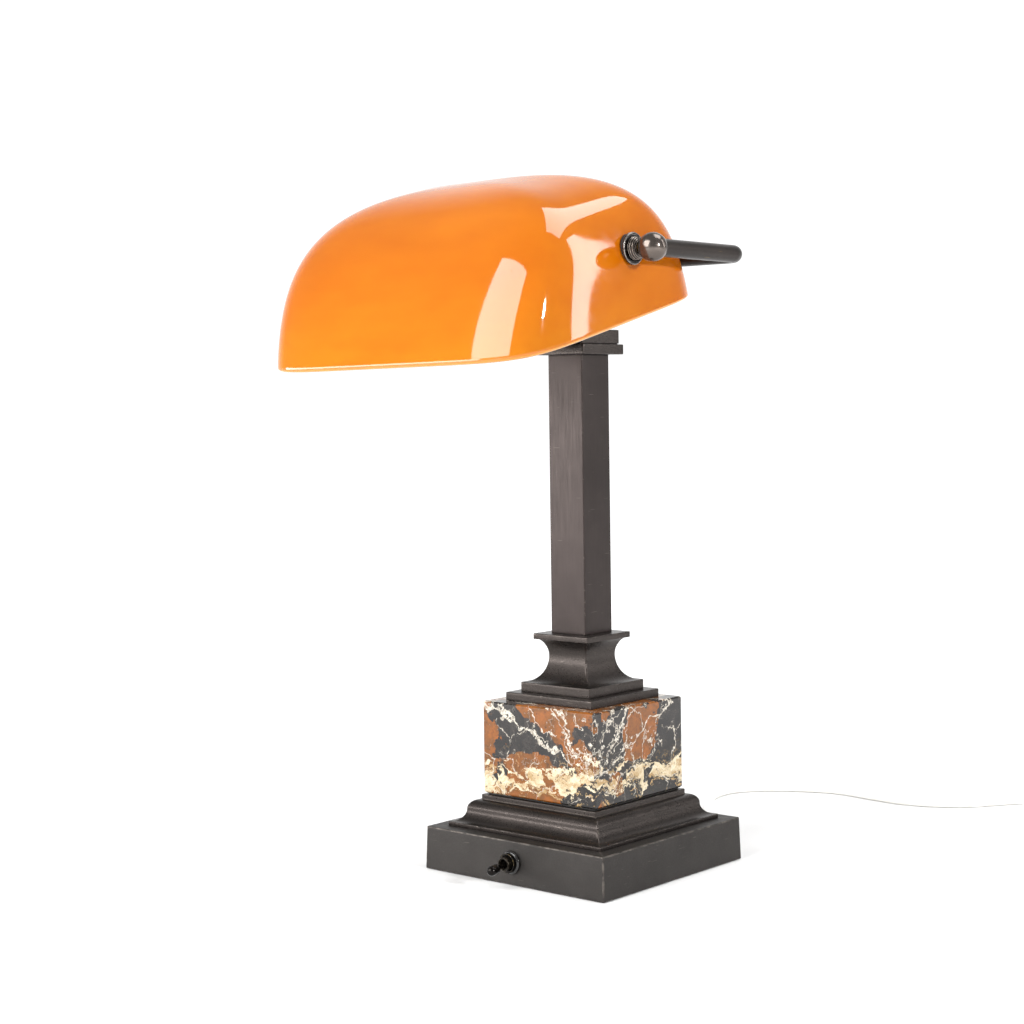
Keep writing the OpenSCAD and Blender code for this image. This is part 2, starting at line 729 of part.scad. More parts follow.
module switch_lever() {
    color("#2f2b29") on_switch() translate([0, 0, pivot_out]) rotate([lever_drop, 0, 0]) {
        sphere(r = pivot_r);
        cylinder(r = 1.7, h = tip_reach - pivot_out);
        translate([0, 0, tip_reach - pivot_out]) sphere(d = tip_d);
        translate([0, 0, -8]) cylinder(r = 1.1, h = 8);
    }
}

module switch_body() {
    front = -base_wall - 1.5;
    color("#1d1d1e") on_switch() difference() {
        translate([-9, -6.3, body_back]) cube([18, 12.6, front - body_back]);
        translate([0, 0, front - 5]) cylinder(r = 3.4, h = 6);
    }
}

module switch_tags() {
    color("#c9a45a") on_switch() for (x = [-5, 5])
        translate([x - 1.6, -0.4, body_back - 6]) cube([3.2, 0.8, 6]);
}

// Parts inside the base behind the cord entry.
block_x = 26;
block_y = 22;
block_low = felt_t + plate_t + 3;

module terminal_block() {
    color("#e8e6df") difference() {
        translate([block_x, block_y, block_low]) cube([24, 16, cavity_top - block_low]);
        for (i = [0 : 2]) translate([block_x + 4 + 8 * i, block_y - 1, block_low + 5]) rotate([-90, 0, 0])
            cylinder(r = 1.8, h = 18);
        for (i = [0 : 2]) translate([block_x + 4 + 8 * i, block_y + 8, block_low - 1])
            cylinder(r = 1.6, h = 4.3);
    }
}

module terminal_screws() {
    color("#c9a45a") for (i = [0 : 2]) translate([block_x + 4 + 8 * i, block_y + 8, block_low + 0.3])
        cylinder(r = 1.5, h = 2.8);
}

module cord_clamp() {
    color("#c4c4c2") difference() {
        translate([-11, clamp_y, gland_z - cord_r - 1.2])
            cube([22, 9, cavity_top - gland_z + cord_r + 1.2]);
        translate([0, clamp_y - 1, gland_z]) rotate([-90, 0, 0]) cylinder(r = cord_r + run_gap, h = 12);
        for (x = [-7.5, 7.5]) translate([x, clamp_y + 4.5, 0]) cylinder(r = 1.6, h = base_top - 2);
    }
}

module clamp_screws() {
    low = gland_z - cord_r - 1.2;
    color("#b9bbbd") for (x = [-7.5, 7.5]) translate([x, clamp_y + 4.5, 0]) {
        translate([0, 0, low - 1.6]) cylinder(r = 2.8, h = 1.6);
        translate([0, 0, low - eps]) cylinder(r = 1.5, h = cavity_top - low - 1);
    }
}

module earth_lug() {
    color("#c9a45a") translate([-30, 20, 0]) {
        ring(4.5, 2.1, cavity_top - 1, cavity_top);
        translate([-1.5, 4.2, cavity_top - 1]) cube([3, 9, 1]);
        translate([0, 0, cavity_top - 1 - 2]) cylinder(r = 3.6, h = 2);
        translate([0, 0, cavity_top - 1 - eps]) cylinder(r = 2.1, h = 1);
    }
}

module inner_leads() {
    r = 0.9;
    color("#8a4b2c") for (x = [-1.3, 1.3])
        translate([x, 0, tie_low - 2]) cylinder(r = r, h = tie_top - tie_low - 4);
    color("#3d6a9a") for (x = [-1.3, 1.3]) on_lamp_axis()
        translate([x, 0, arm_from + 0.2]) cylinder(r = r, h = shell_from - 2.4 - arm_from);
}

module cord_gland() {
    out_r = cord_r + 0.8;
    color("#e9e7e2") on_gland() rotate_extrude() polygon([
        [cord_r + run_gap, -base_wall - 2.5], [7, -base_wall - 2.5], [7, -base_wall - 0.3],
        [5.2, -base_wall - 0.3], [5.2, 0.2], [7.2, 0.2], [7.2, 1.6], [6.6, 2.2], [5.6, 2.6],
        [out_r, gland_len - 0.6], [out_r - 0.3, gland_len], [cord_r + run_gap, gland_len]]);
}

module cord_inner() {
    back = base_w / 2 - clamp_y + 8;
    color("#f1efea") on_gland() translate([0, 0, -back]) cylinder(r = cord_r, h = back + gland_len);
}

// Tube of round section carried along a list of points.
module swept_tube(points) {
    n = len(points);
    function unit(v) = v / norm(v);
    function along(i) = unit(points[min(i + 1, n - 1)] - points[max(i - 1, 0)]);
    function across(i) = unit(cross(along(i), [0, 0, 1]));
    function over(i) = cross(across(i), along(i));
    verts = [for (i = [0 : n - 1]) for (j = [0 : cord_sides - 1]) let (a = 360 * (j + 0.5) / cord_sides)
        points[i] + cord_r * (cos(a) * across(i) + sin(a) * over(i))];
    function at(i, j) = i * cord_sides + j % cord_sides;
    polyhedron(verts, concat([[for (j = [0 : cord_sides - 1]) j]],
        [[for (j = [cord_sides - 1 : -1 : 0]) at(n - 1, j)]],
        [for (i = [0 : n - 2]) for (j = [0 : cord_sides - 1]) [at(i, j), at(i + 1, j), at(i, j + 1)]],
        [for (i = [0 : n - 2]) for (j = [0 : cord_sides - 1])
            [at(i, j + 1), at(i + 1, j), at(i + 1, j + 1)]]));
}

module cord_run() {
    color("#f1efea") swept_tube(run_route);
}

module cord_coil() {
    half = coil_columns * coil_pitch / 2;
    color("#f1efea") translate([coil_x, coil_y, coil_z]) ring(coil_mean_r + half, coil_mean_r - half, 0,
        coil_layers * cord_d);
}

module cord_tail() {
    color("#f1efea") swept_tube(tail_route);
}

module cord_tie() {
    half = coil_columns * coil_pitch / 2;
    high = coil_z + coil_layers * cord_d;
    color("#2a2a2a") translate([coil_x, coil_y, 0]) rotate([0, 0, 215])
        translate([coil_mean_r, 0, 0]) difference() {
        translate([-half - 1, -2, 0]) cube([2 * half + 2, 4, high + 0.8]);
        translate([-half - fit_gap, -3, coil_z - eps])
            cube([2 * half + 2 * fit_gap, 6, high - coil_z + fit_gap]);
    }
}

module plug_body() {
    last = tail_route[len(tail_route) - 1];
    color("#efede8") translate([last[0], last[1], plug_z]) rotate([90, 0, 0]) difference() {
        union() {
            rotate_extrude() polygon([[0, 0.3], [3.6, 0.3], [5.2, 22], [0, 22]]);
            for (x = [-6.5, 6.5]) translate([x, 0, 22]) cylinder(r = 6.5, h = 32);
            translate([-6.5, -6.5, 22]) cube([13, 13, 32]);
        }
        translate([0, 0, -1]) cylinder(r = cord_r + run_gap, h = 8);
        for (x = [-9.3, 9.3]) translate([x, 0, 46]) cylinder(r = 2.02, h = 12);
    }
}

module plug_pins() {
    last = tail_route[len(tail_route) - 1];
    color("#d9d9d6") translate([last[0], last[1], plug_z]) rotate([90, 0, 0]) for (x = [-9.3, 9.3]) {
        translate([x, 0, 46.1]) cylinder(r = 2, h = 25.1);
        translate([x, 0, 71.2]) sphere(r = 2);
    }
}

base_block();
base_plate();
base_felt();
plate_screws();
plinth_plate();
ogee_moulding();
marble_pad();
marble_block();
neck_foot();
neck_casting();
column_tube();
cap_plate();
upper_block();
tie_tube();
tie_nut();
tie_washer();
stem();
bow();
ball(-1);  // ball_left
ball(1);  // ball_right
stud(-1);  // stud_left
stud(1);  // stud_right
stud_nuts();
collar(-1);  // collar_left
collar(1);  // collar_right
shade_glass();
outer_washers();
outer_seats();
inner_seats();
inner_washers();
lamp_arm();
holder_cap();
holder_shell();
holder_ring();
holder_insert();
holder_liner();
holder_contact();
bulb_cap();
bulb_glass();
switch_bezel();
switch_nut();
switch_bush();
switch_body();
switch_tags();
switch_lever();
terminal_block();
terminal_screws();
cord_clamp();
clamp_screws();
earth_lug();
inner_leads();
cord_gland();
cord_inner();
cord_run();
cord_coil();
cord_tail();
cord_tie();
plug_body();
plug_pins();
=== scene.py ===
import math

import bpy
import numpy as np
from mathutils import Matrix


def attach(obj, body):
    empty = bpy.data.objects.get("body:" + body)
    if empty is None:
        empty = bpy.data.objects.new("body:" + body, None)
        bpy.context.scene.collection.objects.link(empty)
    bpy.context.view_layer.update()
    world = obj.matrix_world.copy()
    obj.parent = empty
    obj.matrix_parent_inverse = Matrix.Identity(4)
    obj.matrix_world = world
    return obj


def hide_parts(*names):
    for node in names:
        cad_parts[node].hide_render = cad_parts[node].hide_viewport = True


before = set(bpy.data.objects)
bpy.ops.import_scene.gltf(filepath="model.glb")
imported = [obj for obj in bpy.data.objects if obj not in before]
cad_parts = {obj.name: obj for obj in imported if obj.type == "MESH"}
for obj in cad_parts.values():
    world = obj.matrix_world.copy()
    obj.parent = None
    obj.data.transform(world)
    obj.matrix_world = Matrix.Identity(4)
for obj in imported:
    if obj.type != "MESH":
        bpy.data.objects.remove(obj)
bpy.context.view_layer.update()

# ---- Studio: floor, light and camera ------------------------------------------------------------
# A pale seamless floor that fades into a bright wall of light behind the lamp. Five lamps draw what the
# glass mirrors: two upright streaks, a light on top, a line at the rim and a small glint. The camera
# stands at the front right, near column height.

MM = 0.001
camera_azimuth = math.radians(40.75)
camera_roll = math.radians(-0.71)
camera_place = (823.3 * MM, -1024.0 * MM, 309.3 * MM)


def linear(hex_colour):
    """sRGB hex to linear RGBA: each channel c becomes ((c + 0.055) / 1.055) ** 2.4, or c / 12.92 if dark."""
    srgb = np.array([int(hex_colour[i:i + 2], 16) for i in (1, 3, 5)]) / 255
    light = np.where(srgb <= 0.04045, srgb / 12.92, ((srgb + 0.055) / 1.055) ** 2.4)
    return (*(float(c) for c in light), 1.0)


def add_node(tree, kind, inputs=None, **settings):
    """Adds a node with its settings; an input that is a socket is linked, any other is its value."""
    node = tree.nodes.new(kind)
    for name, value in settings.items():
        setattr(node, name, value)
    for name, value in (inputs or {}).items():
        if isinstance(value, bpy.types.NodeSocket):
            tree.links.new(value, node.inputs[name])
        else:
            node.inputs[name].default_value = value
    return node


def new_object(name, data):
    """A new object in the scene."""
    made = bpy.data.objects.new(name, data)
    bpy.context.scene.collection.objects.link(made)
    return made


def new_material(name):
    """An empty node material, and the tree to build it in."""
    material = bpy.data.materials.new(name)
    material.use_nodes = True
    material.node_tree.nodes.clear()
    return material, material.node_tree


def principled(tree, inputs, normal=None):
    """The material's one Principled shader, linked to a new output."""
    shader = add_node(tree, "ShaderNodeBsdfPrincipled", inputs)
    if normal is not None:
        tree.links.new(normal, shader.inputs["Normal"])
    add_node(tree, "ShaderNodeOutputMaterial", {"Surface": shader.outputs["BSDF"]})


def object_place(tree):
    """Object coordinates, in metres."""
    return add_node(tree, "ShaderNodeTexCoord").outputs["Object"]


def mixed(tree, factor, a, b):
    """Colour, hex colour or socket a where the factor is 0 and b where it is 1."""
    a, b = (linear(colour) if isinstance(colour, str) else colour for colour in (a, b))
    mix = add_node(tree, "ShaderNodeMix", {"Factor": factor, "A": a, "B": b}, data_type="RGBA")
    return mix.outputs["Result"]


def ranged(tree, value, low, high, new_low=0.0, new_high=1.0):
    """The value from low to high moved to the new range, held at its ends."""
    return add_node(tree, "ShaderNodeMapRange", {"Value": value, "From Min": low, "From Max": high,
                                                 "To Min": new_low, "To Max": new_high}).outputs["Result"]


def calculated(tree, operation, *values):
    """Maths on values."""
    node = add_node(tree, "ShaderNodeMath", dict(enumerate(values)), operation=operation)
    return node.outputs["Value"]


def vectors(tree, operation, *values):
    """Maths on vectors. A length or a dot product is a value, anything else a vector."""
    node = add_node(tree, "ShaderNodeVectorMath", dict(enumerate(values)), operation=operation)
    return node.outputs["Value" if operation in ("LENGTH", "DOT_PRODUCT") else "Vector"]


floor_half = 30.0
fade_start, fade_end = 0.4, 1.8
far_glow = 0.75
near_paper, far_paper = (0.8, 0.8, 0.8, 1), (0.9, 0.9, 0.9, 1)
floor_mesh = bpy.data.meshes.new("floor")
floor_mesh.from_pydata([(-floor_half, -floor_half, 0), (floor_half, -floor_half, 0),
                        (floor_half, floor_half, 0), (-floor_half, floor_half, 0)], [], [(0, 1, 2, 3)])
floor = new_object("floor", floor_mesh)
floor_white, tree = new_material("matt_white_floor")
far = vectors(tree, "LENGTH", object_place(tree))
far_share = ranged(tree, far, fade_start, fade_end)
paper = mixed(tree, far_share, near_paper, far_paper)
glow = calculated(tree, "MULTIPLY", far_share, far_glow)
principled(tree, {"Base Color": paper, "Roughness": 0.9, "Specular IOR Level": 0.1,
                  "Emission Color": (1, 1, 1, 1), "Emission Strength": glow})
floor_mesh.materials.append(floor_white)

wall_direction = (-0.653, 0.758, 0.0)
wall_edge, wall_full = 0.5, 0.8
room_light, wall_light = 0.35, 1.12
world = bpy.data.worlds.new("studio")
world.use_nodes = True
world.node_tree.nodes.clear()
tree = world.node_tree
direction = add_node(tree, "ShaderNodeTexCoord").outputs["Generated"]
towards_wall = vectors(tree, "DOT_PRODUCT", direction, wall_direction)
wall = ranged(tree, towards_wall, wall_edge, wall_full, room_light, wall_light)
background = add_node(tree, "ShaderNodeBackground", {"Color": (1, 1, 1, 1), "Strength": wall})
add_node(tree, "ShaderNodeOutputWorld", {"Surface": background.outputs["Background"]})
bpy.context.scene.world = world
bpy.context.scene.view_settings.view_transform = "Standard"


def soft_box(name, azimuth, elevation, wide, high, distance, radiance):
    """A rectangular lamp of even radiance, seen from lit_place in that direction and with that angular
    width and height, in degrees."""
    turn, lift = math.radians(azimuth), math.radians(elevation)
    away = np.array([math.cos(turn) * math.cos(lift), math.sin(turn) * math.cos(lift), math.sin(lift)])
    across = np.array([-math.sin(turn), math.cos(turn), 0])
    upright = np.cross(away, across)
    lamp = bpy.data.lights.new(name, "AREA")
    lamp.shape = "RECTANGLE"
    lamp.size = 2 * distance * math.tan(math.radians(wide / 2))
    lamp.size_y = 2 * distance * math.tan(math.radians(high / 2))
    lamp.energy = radiance * math.pi * lamp.size * lamp.size_y
    holder = new_object(name, lamp)
    place = np.array(lit_place) + distance * away
    holder.matrix_world = (Matrix.Translation(place.tolist())
                           @ Matrix(np.array([across, upright, away]).T.tolist()).to_4x4())
    holder.visible_camera = False


lit_place = (0.1, -0.14, 0.37)
soft_box("front_box", -105, 24, 42, 44, 2.0, 9.0)
soft_box("low_left_box", -142, -3, 44, 8, 2.0, 11.0)
soft_box("rear_right_strip", 47, 19, 6.8, 39, 2.4, 8.5)
soft_box("overhead_box", 58, 63, 34, 30, 2.0, 6.0)
soft_box("right_strobe", -3, 13, 4, 5, 2.4, 430.0)

camera_data = bpy.data.cameras.new("camera")
camera_data.sensor_width = 36.0
camera_data.lens = 69.05
camera_data.shift_y = -0.1074
camera_data.clip_start = 0.05
camera_data.clip_end = 50.0
camera = new_object("camera", camera_data)
camera.matrix_world = (Matrix.Translation(camera_place) @ Matrix.Rotation(camera_azimuth, 4, "Z")
                       @ Matrix.Rotation(math.radians(90), 4, "X") @ Matrix.Rotation(camera_roll, 4, "Z"))
bpy.context.scene.camera = camera

# ---- Base casting and thin plinth plate ----------------------------------------------------------
# A hollow square zinc casting, 150 mm wide, and a sheared plate on it. Both are lacquered in a satin
# dark bronze that has worn to brighter metal along the arrises and holds dust in the inner corners.
# Shapes are given in millimetres from here on, and surface() turns them into metres.

edge_margin = 1.2
arc_share, margin_share = 0.45, 0.48


def surface(name, grid, material, wrap=(False, True), poles=(None, None), fields=None):
    """Mesh through a grid of points (rows, columns, 3) in millimetres, one quad to each cell. wrap closes
    the rows or the columns on themselves; a pole closes the first or the last row with a fan to it."""
    rows, columns = grid.shape[:2]
    row, column = np.meshgrid(np.arange(rows - (not wrap[0])), np.arange(columns - (not wrap[1])),
                              indexing="ij")
    next_row, next_column = (row + 1) % rows, (column + 1) % columns
    quads = np.stack([row * columns + column, row * columns + next_column,
                      next_row * columns + next_column, next_row * columns + column], -1).reshape(-1, 4)
    points = grid.reshape(-1, 3)
    fields = {key: np.asarray(value, float).reshape(-1) for key, value in (fields or {}).items()}
    faces = quads.tolist()
    for last, pole in enumerate(poles):
        if pole is None:
            continue
        ring = np.arange(columns) + (rows - 1) * columns * last
        ahead = np.roll(ring, -1)
        tip = np.full(columns, len(points))
        fan = (ahead, ring, tip) if last == 0 else (ring, ahead, tip)
        faces += np.stack(fan, -1).tolist()
        points = np.vstack([points, pole])
        fields = {key: np.append(value, value[ring].mean()) for key, value in fields.items()}
    mesh = bpy.data.meshes.new(name)
    mesh.from_pydata((points * MM).tolist(), [], faces)
    mesh.polygons.foreach_set("use_smooth", np.ones(len(mesh.polygons), bool))
    for key, value in fields.items():
        mesh.attributes.new(key, "FLOAT", "POINT").data.foreach_set("value", value)
    mesh.materials.append(material)
    mesh.update()
    return new_object(name, mesh)


def stands_for(piece, *nodes, slot="bronze_lacquer", body="stand"):
    """The piece rides that body and replaces those CAD nodes. The slot is not used."""
    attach(piece, body)
    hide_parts(*nodes)
    return piece


def profile(corners, steps=4):
    """Rows through the corners (reach, height, radius), each rounded by an arc of its radius unless it is
    straight, with a row a margin away on both sides. An arc, alone or with its margin, takes no more than
    its share of a side. Returns the rows and their edge: 1 on an outer arc, -1 on an inner one."""
    corners = np.array(corners, float)
    rows, edges = [], []
    for i, (reach, height, radius) in enumerate(corners):
        here = np.array([reach, height])
        if radius == 0 or i in (0, len(corners) - 1):
            rows.append([here])
            edges.append([0.0])
            continue
        back, ahead = corners[i - 1, :2] - here, corners[i + 1, :2] - here
        back_length, ahead_length = np.linalg.norm(back), np.linalg.norm(ahead)
        back, ahead = back / back_length, ahead / ahead_length
        if np.linalg.norm(back + ahead) < 1e-6:
            before = here + back * min(edge_margin, margin_share * back_length)
            after = here + ahead * min(edge_margin, margin_share * ahead_length)
            rows.append([before, here, after])
            edges.append([0.0, 1.0, 0.0])
            continue
        half = math.acos(np.clip(back @ ahead, -1, 1)) / 2
        run = min(radius / math.tan(half), arc_share * back_length, arc_share * ahead_length)
        middle = (back + ahead) / np.linalg.norm(back + ahead)
        centre = here + middle * run / math.cos(half)
        first, last = here + back * run - centre, here + ahead * run - centre
        sweep = math.pi - 2 * half
        share = np.linspace(0, 1, steps + 1)[:, None]
        arc = centre + (np.sin((1 - share) * sweep) * first + np.sin(share * sweep) * last) / math.sin(sweep)
        before = arc[:1] + back * min(edge_margin, margin_share * back_length - run)
        after = arc[-1:] + ahead * min(edge_margin, margin_share * ahead_length - run)
        bulges = math.copysign(1.0, ahead[0] * back[1] - ahead[1] * back[0])
        rows.append(np.vstack([before, arc, after]))
        edges.append([0.0, *[bulges] * (steps + 1), 0.0])
    rows, edges = np.vstack(rows), np.concatenate(edges)
    apart = np.append(True, np.linalg.norm(np.diff(rows, axis=0), axis=1) > 0.001)
    return rows[apart], edges[apart]


def arc_rows(centre_reach, centre_height, across, up, start, stop, steps=18):
    """Corners without rounding along an arc with half axes across and up, between two angles in degrees."""
    angle = np.radians(np.linspace(start, stop, steps + 1))
    return [(centre_reach + across * math.cos(a), centre_height + up * math.sin(a), 0) for a in angle]


def square_moulding(name, corners, material, arris=0.6, steps=4):
    """A profile carried round a square with rounded upright arrises, closed below and above."""
    rows, edge = profile(corners)
    quarter = np.arange(4)[:, None] * math.pi / 2
    turn = quarter + np.concatenate([[0], np.linspace(0, math.pi / 2, steps + 1), [math.pi / 2]])
    slide = np.concatenate([[-edge_margin], np.zeros(steps + 1), [edge_margin]])
    cosine, sine = np.cos(turn), np.sin(turn)
    offset = np.stack([arris * cosine - slide * sine, arris * sine + slide * cosine], -1).reshape(-1, 2)
    signs = math.sqrt(2) * np.stack([np.cos(quarter + math.pi / 4), np.sin(quarter + math.pi / 4)], -1)
    signs = np.broadcast_to(signs, (4, turn.shape[1], 2)).reshape(-1, 2)
    flat = (rows[:, None, :1] - arris) * signs + offset
    height = np.broadcast_to(rows[:, 1, None, None], (*flat.shape[:2], 1))
    upright = np.tile(slide == 0, 4).astype(float)
    both = np.where(upright > 0, np.where(edge[:, None] < 0, edge[:, None], 1), edge[:, None])
    return surface(name, np.concatenate([flat, height], -1), material,
                   poles=((0, 0, rows[0, 1]), (0, 0, rows[-1, 1])), fields={"edge": both})


def noise(tree, place, size, detail=3.0, roughness=0.55, stretch=(1, 1, 1)):
    """Noise whose lumps are about size millimetres across, stretched along the axes."""
    spread = vectors(tree, "MULTIPLY", place, [1 / s for s in stretch])
    return add_node(tree, "ShaderNodeTexNoise", {"Vector": spread, "Scale": 1 / (size * MM),
                                                 "Detail": detail, "Roughness": roughness}).outputs["Fac"]


def bumped(tree, height, depth):
    """Normal of a relief whose full height is depth millimetres."""
    bump = add_node(tree, "ShaderNodeBump", {"Height": height, "Distance": depth * MM, "Strength": 1.0})
    return bump.outputs["Normal"]


def lacquered_bronze(name, colour, worn, roughness=0.42, grain=(1, 1, 1), wear=1.0):
    """Satin bronze lacquer: cloudy tone, fine grain, edges worn to brighter metal, dust in inner corners,
    and a few hair scratches."""
    material, tree = new_material(name)
    place = object_place(tree)
    edge = add_node(tree, "ShaderNodeAttribute", attribute_name="edge").outputs["Fac"]
    clouds = noise(tree, place, 30, 4)
    fine = noise(tree, place, 0.9, 2, stretch=grain)
    patches = noise(tree, place, 5, 5, 0.7)
    scratch_field = noise(tree, place, 2.2, 1, stretch=(7, 7, 0.35))
    scratch = ranged(tree, scratch_field, 0.735, 0.76)
    rubbed = ranged(tree, calculated(tree, "ADD", calculated(tree, "MULTIPLY", edge, 0.62 * wear), patches),
                    0.86, 1.22)
    dusty = ranged(tree, calculated(tree, "SUBTRACT", patches, edge), 1.2, 1.7, 0.0, 0.5)
    deeper = (*(0.78 * c for c in linear(colour)[:3]), 1.0)
    tone = mixed(tree, ranged(tree, clouds, 0.35, 0.65), colour, deeper)
    tone = mixed(tree, calculated(tree, "MULTIPLY", fine, 0.25), tone, "#1c1918")
    bared = calculated(tree, "MAXIMUM", rubbed, calculated(tree, "MULTIPLY", scratch, 0.35))
    tone = mixed(tree, bared, tone, worn)
    tone = mixed(tree, dusty, tone, "#5c544c")
    gloss = calculated(tree, "ADD", ranged(tree, fine, 0.3, 0.7, roughness - 0.05, roughness + 0.06),
                       calculated(tree, "MULTIPLY", dusty, 0.3))
    principled(tree, {"Base Color": tone, "Metallic": 0.85, "Roughness": gloss}, bumped(tree, fine, 0.02))
    return material


cast_bronze = lacquered_bronze("satin_bronze_lacquer_cast", "#403a37", "#7a716a", 0.3, wear=0.55)
sand_bronze = lacquered_bronze("satin_bronze_lacquer_base", "#403d3b", "#6f6862", 0.5, wear=0.75)
base_half, base_draft, base_lift, base_top = 75, 0.75, 0.5, 28.4
base_wall, base_roof = 6, 6
base = square_moulding("base_casting", [
    (base_half - base_wall - 20, base_top - base_roof, 0),
    (base_half - base_wall, base_top - base_roof, 1.5), (base_half - base_wall, base_lift, 0.4),
    (base_half, base_lift, 0.35), (base_half - base_draft, base_top, 0.7), (base_half - 12, base_top, 0)],
    sand_bronze, 0.7)
stands_for(base, "base_block")

plinth_half, plinth_top = 64.2, 31.1
plinth = square_moulding("plinth_sheet", [
    (plinth_half - 2, base_top, 0), (plinth_half, base_top, 0.25),
    (plinth_half, plinth_top, 0.45), (plinth_half - 2, plinth_top, 0)], cast_bronze, 0.5)
stands_for(plinth, "plinth_plate")

# ---- Ogee moulding under the marble --------------------------------------------------------------
# One casting with a cove below, a round above and a flat band on which the marble sits. It is finished
# like the base.

cove_r, round_r, band_half, round_step = 8, 6, 48.4, 1.1
ogee_top = plinth_top + cove_r + round_r + 3.5
turn_height = plinth_top + cove_r
ogee_foot = band_half + round_step + round_r + cove_r
ogee = square_moulding("ogee_casting", [
    (ogee_foot - 3, plinth_top, 0), (ogee_foot, plinth_top, 0),
    *arc_rows(ogee_foot, turn_height, cove_r, cove_r, 268, 181),
    *arc_rows(band_half + round_step, turn_height, round_r, round_r, 8, 88),
    (band_half, turn_height + round_r, 0.3), (band_half, ogee_top, 0.45), (band_half - 4, ogee_top, 0)],
    cast_bronze, 0.7)
stands_for(ogee, "ogee_moulding")

# ---- Marble block and its rubber pad -------------------------------------------------------------
# A sawn and polished cube of brown breccia: rust and near-black fragments with a cream calcite band low
# down, crossed by thin white veins, with narrow polished chamfers. A black pad keeps it off the metal.


